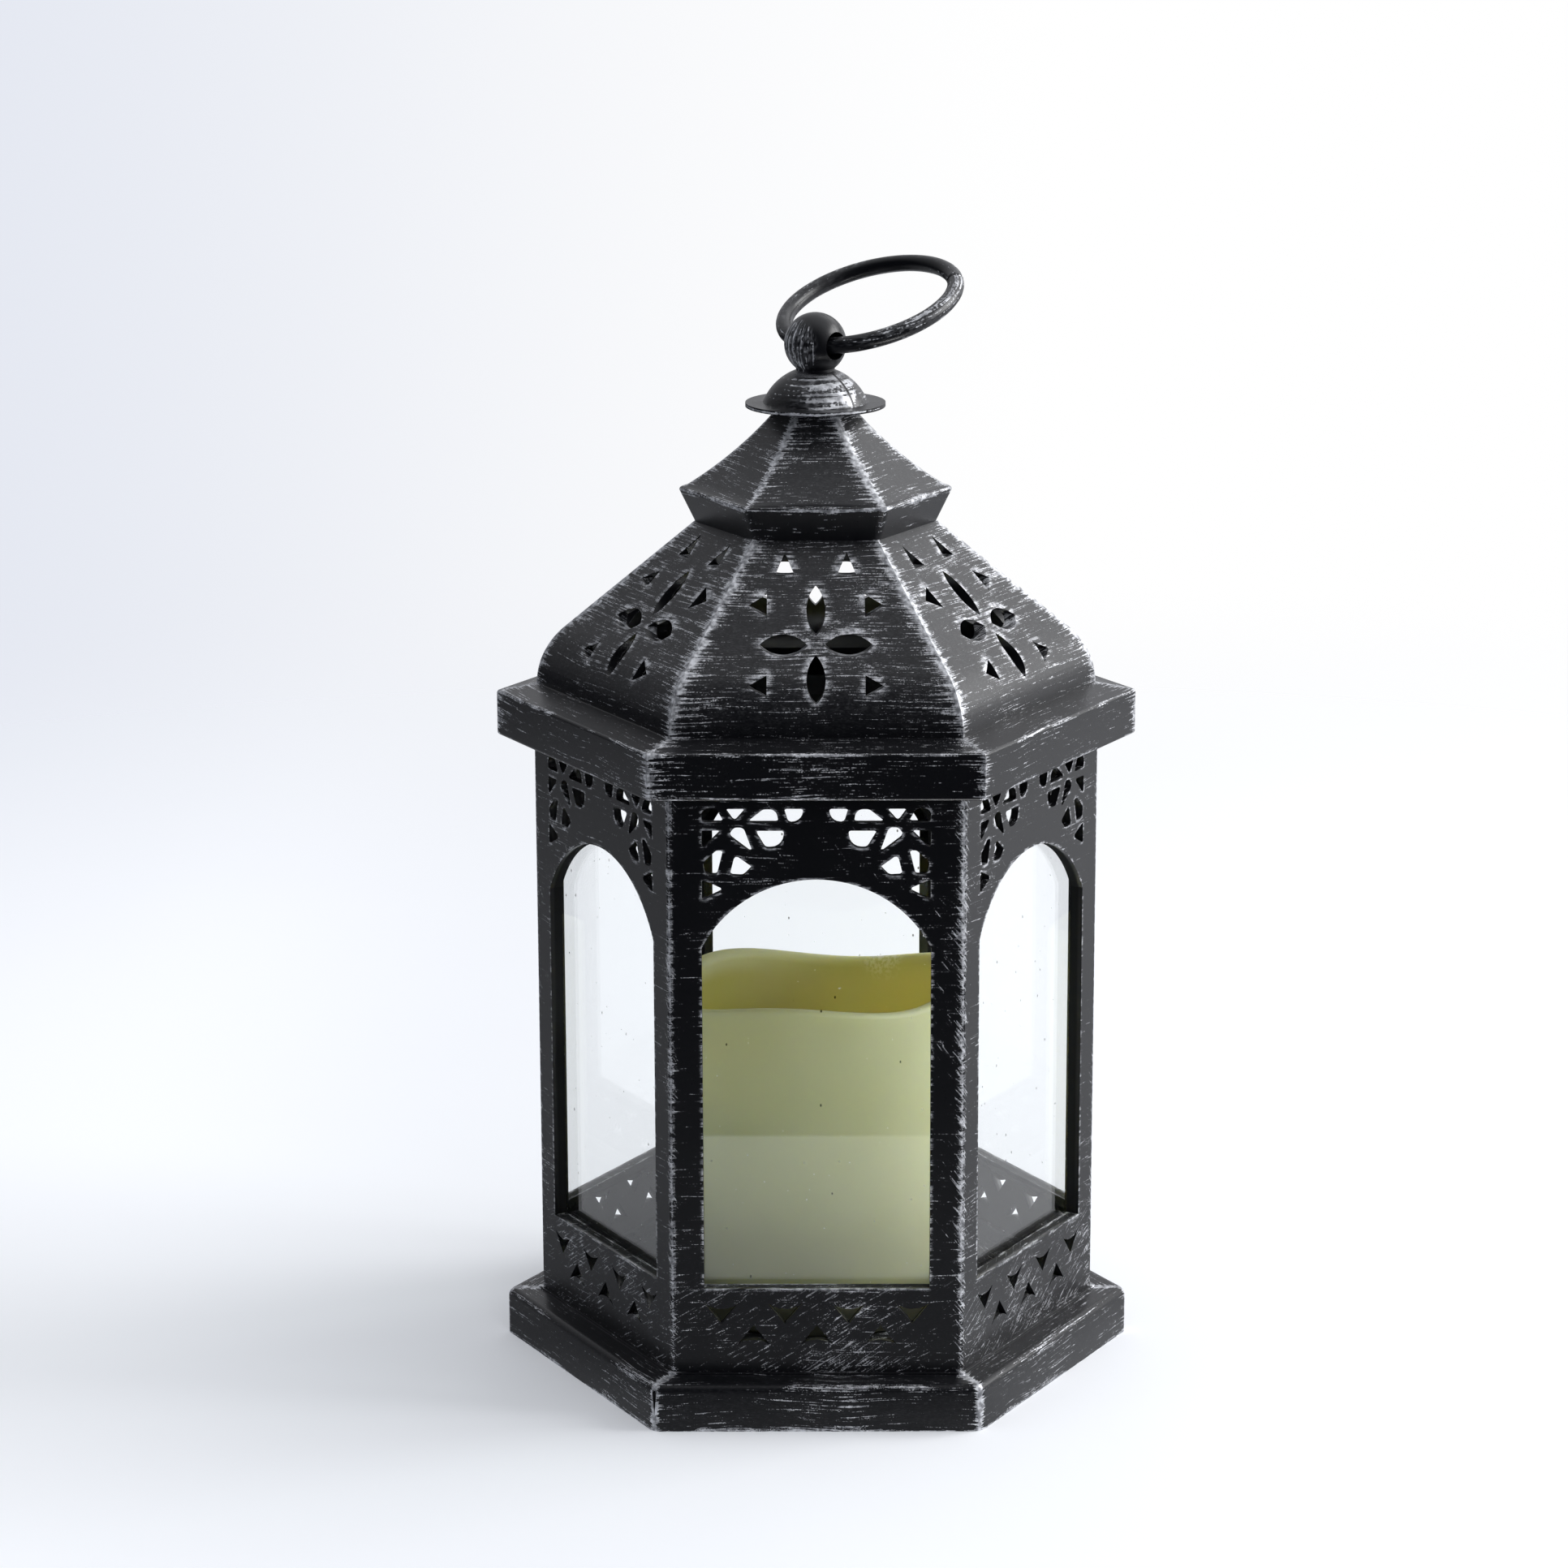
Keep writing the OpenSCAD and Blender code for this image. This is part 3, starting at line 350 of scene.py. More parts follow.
facing = t.times(t.steps(square_on, 0.35, 0.6), t.steps(outward, -0.3, -0.1), t.steps(upward, -0.75, -0.55))
t.feed(gout, Place=place, Round=t.times(t.math("ARCTAN2", x, t.times(y, -1.0)), out), Out=out, Height=height,
       Across=t.minus(height, t.times(out, ACROSS_LEAN)), Corner=corner, Facing=facing)
print("group", lantern_place.name)

# %% [markdown]
# ## Dry-brushed silver
# Silver paint was dragged over the black with a nearly dry brush. It left thin broken lines that run level
# round the lantern, caught on every edge and frayed out from the corners like a comb. Stretched noise draws
# such lines: it changes slowly along the stroke and quickly across it. A score adds up the lines, the dashes
# and the nearness of an edge, and silver lies where the score is high.

# %% Group for dry-brushed silver
# Cells for each mm along and across the strokes, and the noise's detail.
LINES, DASHES, COMB = (0.045, 2.8, 1.0), (0.28, 4.0, 2.0), (0.05, 1.6, 1.0)
GRAIN, RIM_BREAKS = (1.2, 5.0, 2.0), (0.16, 0.9, 1.0)
# The slant down to the right, and cells for each mm along and across the strokes.
SCRATCHES, SWEEPS = (math.radians(58), 0.26, 2.8), (math.radians(-34), 0.22, 2.6)
LEDGE_PAINT, RIM_PAINT, UNEVEN_PAINT, LOAD_PAINT = 0.24, 0.28, 0.24, 0.25
SILVER_FROM, SILVER_FULL = 0.6, 0.67
SILVER_DARK, SILVER_PALE = (0.22, 0.225, 0.24, 1), (0.78, 0.79, 0.82, 1)
BLACK_DARK, BLACK_PALE = (0.0035, 0.0038, 0.0055, 1), (0.0065, 0.0067, 0.0078, 1)

dry_brush, t, gin, gout = new_group("dry brush", [
    ("Place", VECTOR, None), ("Round", FLOAT, 0.0), ("Across", FLOAT, 0.0), ("Corner", FLOAT, 99.0),
    ("Ledge", FLOAT, 99.0), ("Rim", FLOAT, 0.0), ("Facing", FLOAT, 1.0), ("Load", FLOAT, 0.5),
    ("Corner Reach", FLOAT, 4.0), ("Corner Paint", FLOAT, 0.2), ("Corner Core", FLOAT, 0.0),
    ("Ledge Reach", FLOAT, 1.0), ("Scratches", FLOAT, 0.0), ("Rising", FLOAT, 0.0)],
    [("Color", COLOR), ("Roughness", FLOAT), ("Metallic", FLOAT), ("Height", FLOAT)])
place = gin["Place"]
x, y, _ = t.split(place)
sway = t.times(t.minus(t.noise(place, 0.03, 1.0), 0.5), 4.0)
across = t.plus(gin["Across"], sway)


def level_strokes(along, crossing, detail):
    """Noise stretched along the level strokes."""
    return t.noise(t.xyz(t.times(x, along), t.times(y, along), t.times(across, crossing)), 1.0, detail)


def nearness(gap, reach):
    """1 on an edge, down to 0 where the gap is as wide as the reach."""
    return t.minus(1.0, t.math("DIVIDE", gap, reach), clamp=True)


comb, grain = level_strokes(*COMB), level_strokes(*GRAIN)
patches = t.noise(place, 0.05, 2.0)
uneven = t.minus(patches, 0.5)
flecks = t.noise(place, 2.6, 1.0)
flecked = t.times(t.minus(flecks, 0.5), 0.3)
score = t.plus(t.times(level_strokes(*LINES), 0.5), t.times(level_strokes(*DASHES), 0.5), flecked)
frayed_reach = t.times(gin["Corner Reach"], t.steps(comb, 0.36, 0.66, 0.2, 1.8))
at_corner = t.math("POWER", nearness(gin["Corner"], frayed_reach), 1.4)
core = t.times(t.steps(gin["Corner"], 0.3, 2.0, 1.0, 0.0), gin["Corner Core"])
at_ledge = nearness(gin["Ledge"], t.times(gin["Ledge Reach"], t.steps(patches, 0.35, 0.62, 0.3, 1.4)))
at_rim = t.times(gin["Rim"], t.steps(level_strokes(*RIM_BREAKS), 0.36, 0.62, 0.1, 1.0))
pressed = t.plus(t.times(at_corner, gin["Corner Paint"]), core, t.times(at_ledge, LEDGE_PAINT),
                 t.times(at_rim, RIM_PAINT), t.times(uneven, UNEVEN_PAINT),
                 t.times(t.minus(gin["Load"], 0.5), LOAD_PAINT))
brushed = t.steps(t.plus(score, pressed), SILVER_FROM, SILVER_FULL)
veil = t.times(t.steps(grain, 0.4, 0.7), t.minus(gin["Load"], 0.4, clamp=True), 0.45)


def slanting_strokes(down, along, crossing):
    """Noise stretched along strokes that slant down to the right."""
    c, s = math.cos(down), math.sin(down)
    with_stroke = t.plus(t.times(gin["Round"], c), t.times(across, -s))
    over_stroke = t.plus(t.times(gin["Round"], s), t.times(across, c))
    stretched = t.xyz(t.times(with_stroke, along), t.times(over_stroke, crossing), t.times(patches, 3.0))
    return t.noise(stretched, 1.0, 2.0)


worn = t.plus(t.times(uneven, 0.4), flecked)
near_corner = t.steps(gin["Corner"], 0.1, 3.2, 0.11, -0.1)
harder = t.times(t.minus(gin["Scratches"], 0.8, clamp=True), 0.36)
scratched = t.steps(t.plus(slanting_strokes(*SCRATCHES), near_corner, worn, harder), 0.66, 0.74)
swept_up = t.steps(t.plus(slanting_strokes(*SWEEPS), worn), 0.62, 0.69)
slanted = t.most(t.times(scratched, gin["Scratches"]), t.times(swept_up, gin["Rising"]))
silver = t.times(t.most(brushed, veil, slanted), gin["Facing"])
tone = t.mix(t.steps(t.noise(place, 0.8, 2.0), 0.3, 0.7), SILVER_DARK, SILVER_PALE)
black = t.mix(patches, BLACK_DARK, BLACK_PALE)
t.feed(gout, Color=t.mix(silver, black, tone), Metallic=t.times(silver, 0.5),
       Roughness=t.plus(0.25, t.times(silver, 0.16), t.times(flecks, 0.1)),
       Height=t.plus(t.times(silver, 0.6), t.times(t.noise(place, 4.5, 2.0), 0.4)))
print("group", dry_brush.name)

# %% [markdown]
# ## Rims of the cut-outs
# The brush also caught on the rims of the windows, the fretwork, the petals and the roof's triangles. These have
# many shapes, so here the Bevel node finds them: near an edge its rounded normal turns away from the true one.

# %% Group for cut-out rims
cut_rim, t, gin, gout = new_group("cut rim", [("Reach", FLOAT, 0.002)], [("Rim", FLOAT)])
rounded = t.add("ShaderNodeBevel", {"Radius": gin["Reach"]}, samples=6).outputs[0]
true_way = t.add("ShaderNodeNewGeometry").outputs["Normal"]
turned_away = t.vector("DISTANCE", rounded, true_way)
t.feed(gout, Rim=t.math("MULTIPLY", turned_away, 2.0, clamp=True))
print("group", cut_rim.name)

# %% [markdown]
# ## Paint for each kind of piece
# The brush was heavier on the roof than on the walls and left little on the band of the cap. Each material
# places the groups with its own values. A ledge is a level edge, given by its distance out to the face and its
# height in millimetres.

# %% Painted materials
EAVE_OUT, EAVE_LOW, EAVE_TOP = 69.46, 159.4, 171.0
BASE_OUT, BASE_TOP = 69.63, 11.9
CAP_RIM_OUT, CAP_RIM_Z = 29.7, 222.05
WALL_OUT, SILL_Z = 61.57, 34.2
INSIDE_WALL = WALL_OUT - 0.5
RIM_BLEND = 4
# Each is two places across the front, and how hard the brush pressed at the first and the second.
INTO_RIGHT_POST, PAST_RIGHT_POST = (18.0, 29.0, 0.95, 1.2), (33.0, 42.0, 1.0, 0.78)
# Two places across the cap, and the share of the ridges' silver at the first and the second: more on the right-hand
# ridges, partly painted highlight where the light catches them.
OVER_CAP_PAINT_AND_HIGHLIGHT = (-16.0, 12.0, 0.6, 1.1)


def finish_paint(t, shader, brush, roughness=None):
    """Joins the dry brush to the shader."""
    t.feed(shader, Base_Color=brush["Color"], Roughness=roughness or brush["Roughness"], Metallic=brush["Metallic"],
           Normal=t.bump(brush["Height"], 0.3, 0.1 * MM))


def painted(name, load, corner, ledges=(), ledge_reach=1.0, rim=None, slanted=0.0, matt_within=0.0,
            high_corner_and_highlight=False, shine=0.5):
    """Black paint with dry-brushed silver for a six-sided piece. The load is given low down and high up, with the
    heights between which it changes. The corner is the reach, the frayed weight and the solid weight of its
    silver. The rim is the reach round cut-outs and the heights between which they are silvered."""
    m, t, shader = new_material(name)
    t.feed(shader, Specular_IOR_Level=shine)
    at = t.group(lantern_place)
    low_load, high_load, from_height, to_height = load
    rise = t.steps(at["Height"], from_height, to_height)
    reach, frayed, solid = corner
    ins = {key: at[key] for key in ("Place", "Round", "Across", "Corner", "Facing")}
    here = t.xyz(at["Out"], at["Height"], 0.0)
    gaps = [t.vector("DISTANCE", here, (out, height, 0)) for out, height in ledges]
    if gaps:
        ins["Ledge"] = t.chain("MINIMUM", gaps)
    if rim:
        rim_reach, low, high = rim
        within = t.times(t.steps(at["Height"], low, low + RIM_BLEND),
                         t.steps(at["Height"], high - RIM_BLEND, high, 1.0, 0.0))
        ins["Rim"] = t.times(t.group(cut_rim, Reach=rim_reach * MM)["Rim"], within)
    if slanted:
        x = t.split(at["Place"])[0]
        ins["Scratches"] = t.times(slanted, t.steps(x, *INTO_RIGHT_POST), t.steps(x, *PAST_RIGHT_POST))
        ins["Rising"] = t.steps(at["Height"], SILL_Z - 6, SILL_Z + 4, slanted, 0.0)
    # The cap's corners take more silver higher up, and more on the right-hand ridges than on the left, partly as
    # painted highlight.
    if high_corner_and_highlight:
        x = t.split(at["Place"])[0]
        lifted_paint_and_highlight = t.times(t.plus(t.times(rise, 0.65), 0.35), t.steps(x, *OVER_CAP_PAINT_AND_HIGHLIGHT))
        solid, frayed = t.times(lifted_paint_and_highlight, solid), t.times(lifted_paint_and_highlight, frayed)
    brush = t.group(dry_brush, Load=t.plus(low_load, t.times(rise, high_load - low_load)), Corner_Reach=reach,
                    Corner_Paint=frayed, Corner_Core=solid, Ledge_Reach=ledge_reach, **ins)
    roughness = None
    if matt_within:
        roughness = t.plus(brush["Roughness"], t.steps(at["Out"], matt_within - 1, matt_within, 0.5, 0.0))
    finish_paint(t, shader, brush, roughness)
    return m


wall_paint = painted("wall_paint", load=(0.42, 0.3, 44, 70), corner=(1.1, 0.17, 0.0), rim=(1.4, 30, 300),
                     slanted=0.85, matt_within=INSIDE_WALL)
roof_paint = painted("roof_paint", load=(0.4, 0.5, 170, 182), corner=(4.6, 0.22, 0.03), rim=(3.2, 176, 214),
                     ledges=[(EAVE_OUT, EAVE_TOP), (EAVE_OUT, EAVE_LOW)], ledge_reach=0.9)
cap_paint = painted("cap_paint", load=(0.28, 0.5, 221, 224), corner=(4.6, 0.24, 0.18),
                    ledges=[(CAP_RIM_OUT, CAP_RIM_Z)], ledge_reach=1.6, high_corner_and_highlight=True)
base_paint = painted("base_paint", load=(0.44, 0.44, 0, BASE_TOP), corner=(2.8, 0.19, 0.19),
                     ledges=[(BASE_OUT, BASE_TOP), (BASE_OUT, 0)], ledge_reach=1.1, matt_within=INSIDE_WALL,
                     shine=0.34)
print(len([m for m in bpy.data.materials if m.name.endswith("paint")]), "painted finishes")

# %% Paint for the finial and the ring
BALL_Z, BALL_FOOT_Z = 258.25, 251.25
BRIM_R, BRIM_Z, DOME_R = 17.35, 243.25, 13.0
SEAM_ACROSS = (0.682, 0.731, 0)
RING_R, RING_WIRE_R = 22.0, 2.1
BROAD, MARKS_ROUND_BALL = 0.5, 7.0

finial_paint, t, shader = new_material("finial_paint")
place = t.place()
x, y, height = t.split(place)
radius = t.vector("LENGTH", t.xyz(x, y, 0.0))
angle = t.math("ARCTAN2", x, t.times(y, -1.0))
on_ball = t.steps(height, BALL_FOOT_Z - 0.5, BALL_FOOT_Z + 0.5)
below_ball = t.minus(1.0, on_ball)
upright_marks = t.times(angle, MARKS_ROUND_BALL)
ball_place = t.xyz(height, 0.0, upright_marks)
across = t.plus(t.times(height, below_ball), t.times(upright_marks, on_ball))
past_seam = t.steps(x, 9.3, 10.3, 1.0, 0.55)
off_dome = t.steps(radius, DOME_R, DOME_R + 0.4, 1.0, 0.3)
# The dome takes more silver towards the right, partly painted highlight where the light from the right strikes it.
dome_load_and_highlight = t.times(t.steps(x, -9.0, 5.0, 0.45, 1.15), past_seam, off_dome)
left_of_ball = t.steps(t.plus(t.times(x, -0.8), t.times(y, -0.6)), 2.6, 6.0, 0.1, 0.95)
load = t.plus(t.times(dome_load_and_highlight, below_ball), t.times(left_of_ball, on_ball))
brim_edge = t.vector("DISTANCE", t.xyz(radius, height, 0.0), (BRIM_R, BRIM_Z, 0))
strokes_place = t.add("ShaderNodeMix", {0: on_ball, 4: place, 5: ball_place}, data_type="VECTOR").outputs[1]
off_seam = t.math("ABSOLUTE", t.vector("DOT_PRODUCT", place, SEAM_ACROSS))
brush = t.group(dry_brush, Place=t.scaled(strokes_place, BROAD), Across=t.times(across, BROAD), Ledge=brim_edge,
                Ledge_Reach=0.6, Load=load, Facing=t.steps(off_seam, 0.25, 0.55))
finish_paint(t, shader, brush)

ring_paint, t, shader = new_material("ring_paint")
place = t.add("ShaderNodeAttribute", attribute_name="flat_ring").outputs["Vector"]
x, y, height = t.split(place)
outside = t.minus(t.vector("LENGTH", t.xyz(x, y, 0.0)), RING_R)
round_wire = t.times(t.math("ARCTAN2", height, outside), RING_WIRE_R)
at_ends = t.steps(t.math("ABSOLUTE", y), 10.0, 21.0, 0.0, 0.2)
on_top = t.plus(t.steps(t.plus(height, t.times(outside, 0.6)), 0.7, 2.0, 0.28, 0.52), at_ends)
brush = t.group(dry_brush, Place=t.scaled(place, BROAD), Across=t.times(round_wire, BROAD), Load=on_top)
finish_paint(t, shader, brush)
print("paint for the finial and the ring")

# %% [markdown]
# ## Soft edges
# A moulding has no knife edges. The CAD solids do, so each painted piece is copied, its flat faces are joined
# up again, and a Bevel modifier rounds every edge by a fraction of a millimetre. The copy stands for its node.

# %% Round the edges of the painted pieces
JOIN_BELOW, ROUND_ABOVE, SHARP_ABOVE = math.radians(0.6), math.radians(28), math.radians(32)
BASE_EDGE, WALL_EDGE, ROOF_EDGE, FINIAL_EDGE = 0.3, 0.2, 0.25, 0.3
FACES = ("front", "right_front", "right_back", "back", "left_back", "left_front")


def stand_for(piece, node, body):
    """Shows a new piece in place of a CAD node."""
    scene.collection.objects.link(piece)
    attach(piece, body)
    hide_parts(node)
    return piece


def soft_edged(node, material, width):
    """A copy of a CAD node with edges rounded by a width in millimetres."""
    mesh = nodes[node].data.copy()
    mesh.name = node + "_soft"
    bm = bmesh.new()
    bm.from_mesh(mesh)
    bmesh.ops.remove_doubles(bm, verts=bm.verts, dist=1e-6)
    bmesh.ops.dissolve_limit(bm, angle_limit=JOIN_BELOW, verts=bm.verts, edges=bm.edges)
    bm.to_mesh(mesh)
    bm.free()
    mesh.materials.clear()
    mesh.materials.append(material)
    mesh.shade_smooth()
    mesh.set_sharp_from_angle(angle=SHARP_ABOVE)
    piece = bpy.data.objects.new(node + "_soft", mesh)
    bevel = piece.modifiers.new("soft edges", "BEVEL")
    bevel.width = width * MM
    bevel.segments = 2
    bevel.limit_method = "ANGLE"
    bevel.angle_limit = ROUND_ABOVE
    bevel.harden_normals = True
    return stand_for(piece, node, "lantern")


soft = [soft_edged("base_plinth", base_paint, BASE_EDGE)]
for face in FACES:
    soft.append(soft_edged("side_panel_" + face, wall_paint, WALL_EDGE))
    soft.append(soft_edged("roof_panel_" + face, roof_paint, ROOF_EDGE))
for half in ("front", "back"):
    soft.append(soft_edged(f"finial_{half}_half", finial_paint, FINIAL_EDGE))
print(len(soft), "painted pieces with soft edges")

# %% [markdown]
# ## Roof cap
# The cap is a hollow six-sided moulding whose ridges are so round that light runs along them as broad bands. A
# Bevel modifier that wide would tangle at the thin rim, so the cap is drawn level by level instead: each level
# is a hexagon with rounded corners, and two extra points keep each of its sides flat. All sizes are distances out
# to a side and heights, in millimetres.

# %% Draw the cap
RIDGE_ROUND, INNER_ROUND, RIDGE_STEPS, FLAT_EDGE = 2.4, 0.8, 6, 0.4
RIM_STEPS, CROWN_STEPS, CROWN_SAG = 8, 12, 1.15
CAP_FOOT, CAP_CROWN, CAP_TOP = (26.24, 213.86), (28.2, 222.88), (8.14, 242.76)
CAP_BAND_TOP, CAP_RIM_PULL = (29.55, 221.7), (29.9, 222.65)
INNER_FOOT, INNER_RIM, INNER_CROWN, INNER_TOP = (24.42, 215.58), (27.3, 221.1), (26.2, 221.6), (7.04, 240.56)
SCREW_HOLE_R = 1.7


def rounded_hexagon(out, rounding):
    """Points round a hexagon with rounded corners, and two more along each side."""
    turns = [math.radians(30 * k) for k in range(12)]
    ways = [Vector((math.cos(a), math.sin(a))) for a in turns]
    from_axis = (out - rounding) / math.cos(math.pi / 6)
    ring = []
    for k in range(0, 12, 2):
        for step in range(RIDGE_STEPS + 1):
            a = math.radians(30 * k - 30 + 60 * step / RIDGE_STEPS)
            ring.append(from_axis * ways[k] + rounding * Vector((math.cos(a), math.sin(a))))
        after = from_axis * ways[(k + 2) % 12] + rounding * ways[k + 1]
        edge = min(0.5, FLAT_EDGE / max(from_axis, FLAT_EDGE))
        ring += [ring[-1].lerp(after, edge), ring[-1].lerp(after, 1 - edge)]
    return ring


def curve(start, pull, end, steps):
    """Points along a curve that leaves for, and arrives from, the point that pulls it."""
    a, b, c = Vector(start), Vector(pull), Vector(end)
    return [a.lerp(b, k / steps).lerp(b.lerp(c, k / steps), k / steps) for k in range(steps + 1)]


def hollow_slope(start, end):
    """Points along the crown, which sags between its ends."""
    a, b = Vector(start), Vector(end)
    sag = Vector((-(b.y - a.y), b.x - a.x)).normalized() * 2 * CROWN_SAG
    return curve(a, (a + b) / 2 + sag, b, CROWN_STEPS)


outer = [Vector(CAP_FOOT)] + curve(CAP_BAND_TOP, CAP_RIM_PULL, CAP_CROWN, RIM_STEPS)
outer += hollow_slope(CAP_CROWN, CAP_TOP)[1:]
inner = hollow_slope(INNER_CROWN, INNER_TOP)[::-1] + [Vector(INNER_RIM), Vector(INNER_FOOT)]
levels = [(out, z, RIDGE_ROUND) for out, z in outer]
levels += [(SCREW_HOLE_R, z, SCREW_HOLE_R) for z in (CAP_TOP[1], INNER_TOP[1])]
levels += [(out, z, INNER_ROUND) for out, z in inner]
bm = bmesh.new()
rings = [[bm.verts.new((v.x * MM, v.y * MM, z * MM)) for v in rounded_hexagon(out, r)]
         for out, z, r in levels]
for low, high in zip(rings, rings[1:] + rings[:1]):
    for k in range(len(low)):
        after = (k + 1) % len(low)
        bm.faces.new((low[k], low[after], high[after], high[k]))
bmesh.ops.remove_doubles(bm, verts=bm.verts, dist=1e-7)
bmesh.ops.recalc_face_normals(bm, faces=bm.faces)
cap_mesh = bpy.data.meshes.new("roof_cap_round")
bm.to_mesh(cap_mesh)
bm.free()
cap_mesh.shade_smooth()
cap_mesh.set_sharp_from_angle(angle=SHARP_ABOVE)
cap_mesh.materials.append(cap_paint)
stand_for(bpy.data.objects.new("roof_cap_round", cap_mesh), "roof_cap", "lantern")

# %% [markdown]
# ## Ring handle
# The ring is a round wire bent into a hoop, and its two ends meet at the tip in a small joint. A torus
# primitive has no joint, so the hoop is swept here: circles of points round a larger circle, thinner where the
# ends meet. Each point is worked out on a flat hoop and then leaned into place, and keeps its flat place so that the
# paint can follow the wire.

# %% Sweep the ring
RING_LEAN, HOLE_TURN, RING_BACK = math.radians(21.2), math.radians(-43), 0.65
RING_STEPS, WIRE_STEPS = 360, 20
JOINT_TURN, JOINT_HALF, JOINT_DEPTH = math.radians(-46), math.radians(1.5), 0.5


def hoop_faces(steps, sides):
    """Faces of a closed section of so many sides that is carried round a full turn in so many steps."""
    found = []
    for i in range(steps):
        for j in range(sides):
            ni, nj = (i + 1) % steps, (j + 1) % sides
            found.append([i * sides + j, ni * sides + j, ni * sides + nj, i * sides + nj])
    return found


leaned = Matrix.Rotation(HOLE_TURN + math.pi / 2, 4, "Z") @ Matrix.Rotation(-RING_LEAN, 4, "Y")
to_ball = Matrix.Translation((0, 0, BALL_Z)) @ leaned @ Matrix.Translation((RING_R - RING_BACK, 0, 0))
points, flat = [], []
for i in range(RING_STEPS):
    a = 2 * math.pi * i / RING_STEPS
    off_joint = abs((a - JOINT_TURN + math.pi) % (2 * math.pi) - math.pi)
    wire = RING_WIRE_R - JOINT_DEPTH * max(0.0, 1 - off_joint / JOINT_HALF)
    for j in range(WIRE_STEPS):
        b = 2 * math.pi * j / WIRE_STEPS
        r = RING_R + wire * math.cos(b)
        flat.append(Vector((r * math.cos(a), r * math.sin(a), wire * math.sin(b))))
        points.append((to_ball @ flat[-1]) * MM)
ring_mesh = bpy.data.meshes.new("ring_swept")
ring_mesh.from_pydata(points, [], hoop_faces(RING_STEPS, WIRE_STEPS))
ring_mesh.shade_smooth()
ring_mesh.materials.append(ring_paint)
flat_place = ring_mesh.attributes.new("flat_ring", "FLOAT_VECTOR", "POINT")
flat_place.data.foreach_set("vector", [v for p in flat for v in p])
stand_for(bpy.data.objects.new("ring_swept", ring_mesh), "ring_handle", "ring")

# %% [markdown]
# ## Window panes
# The panes are clear plastic, flat and glossy, with a little dust. Light has to get in to the candle, so the
# pane lets shadow rays through.

# %% Clear panes
PANE_TINT, CRUMB_TINT, SHADOW_TINT = (0.99, 0.998, 0.994, 1), (0.05, 0.05, 0.04, 1), (0.94, 0.96, 0.95, 1)
pane_clear, t, shader = new_material("pane_clear")
place = t.place()
dust = t.steps(t.noise(place, 0.8, 1.0), 0.79, 0.82)
crumb_place = t.vector("MULTIPLY", place, (1, 1, 0.6))
crumb = t.add("ShaderNodeTexVoronoi", {"Vector": crumb_place, "Scale": 0.16}).outputs["Distance"]
crumbs = t.steps(crumb, 0.03, 0.045, 1.0, 0.0)
t.feed(shader, Base_Color=t.mix(crumbs, PANE_TINT, CRUMB_TINT), Roughness=t.times(dust, 0.6),
       Transmission_Weight=1.0, IOR=1.46)
path = t.add("ShaderNodeLightPath").outputs
t.clear_where(t.most(path["Is Shadow Ray"], path["Is Diffuse Ray"]), shader, SHADOW_TINT)
for face in FACES:
    pane = nodes["window_pane_" + face]
    pane.data.materials.clear()
    pane.data.materials.append(pane_clear)
print("six panes")

# %% [markdown]
# ## Candle
# The candle is a thin wax shell with a wavy rim. Outside it is ivory; its hollow is painted amber, a painted glow
# of light coming through the wax, which pales towards the rim, where the wax is thin. Its foot is painted darker as
# painted shade, where it is seen through the darts. A Screw modifier could turn it on a lathe, but the rim rises and
# falls, so the section is carried round in code and each of its points takes its share of the wave. Every point also
# keeps its depth below the rim, for the colour.

# %% Turn the candle
CANDLE_R, HOLLOW_R, CANDLE_BORE, LAMP_HOLE = 37.49, 33.49, 31.29, 6.0
CANDLE_LOW, CANDLE_TOP, HOLLOW_Z, HOLLOW_UNDER = 11.9, 94.9, 69.9, 65.9
RIM_ROUND = 1.2
RIM_WAVES = ((2.0, 50), (0.5, 31), (2.15, -48))
CANDLE_STEPS = 180


def rim_wave(a):
    """Height of the rim's wave, from the height and turn of each of its waves."""
    return sum(h * math.cos((k + 1) * a + math.radians(turn)) for k, (h, turn) in enumerate(RIM_WAVES))


def quarter(middle, size, start, share, steps=6):
    """Section points along a quarter turn, anticlockwise, with their share of the rim's wave."""
    turns = [math.radians(start + 90 * k / steps) for k in range(steps + 1)]
    return [(middle[0] + size[0] * math.cos(a), middle[1] + size[1] * math.sin(a), share) for a in turns]


c = RIM_ROUND
lip_out, lip_down = 1.6 * c, 2 * c
section = [(CANDLE_BORE, CANDLE_LOW, 0)]
section += quarter((CANDLE_R - c, CANDLE_LOW + c), (c, c), 270, 0, 3)
section += [(CANDLE_R, HOLLOW_Z, 0)]
section += quarter((CANDLE_R - c, CANDLE_TOP - c), (c, c), 0, 1)
section += quarter((HOLLOW_R + lip_out, CANDLE_TOP - lip_down), (lip_out, lip_down), 90, 1)
section += quarter((HOLLOW_R - 2 * c, HOLLOW_Z + 2 * c), (2 * c, 2 * c), 270, 0)[::-1]
section += [(LAMP_HOLE, HOLLOW_Z, 0), (LAMP_HOLE, HOLLOW_UNDER, 0), (CANDLE_BORE, HOLLOW_UNDER, 0)]
points, depths = [], []
for i in range(CANDLE_STEPS):
    a = 2 * math.pi * i / CANDLE_STEPS
    for r, z, share in section:
        level = z + share * rim_wave(a)
        points.append((r * math.cos(a) * MM, r * math.sin(a) * MM, level * MM))
        depths.append(CANDLE_TOP + rim_wave(a) - level)
candle_mesh = bpy.data.meshes.new("candle_turned")
candle_mesh.from_pydata(points, [], hoop_faces(CANDLE_STEPS, len(section)))
candle_mesh.shade_smooth()
candle_mesh.set_sharp_from_angle(angle=math.radians(40))
candle_mesh.attributes.new("below_rim", "FLOAT", "POINT").data.foreach_set("value", depths)
candle = stand_for(bpy.data.objects.new("candle_turned", candle_mesh), "candle_shell", "lantern")

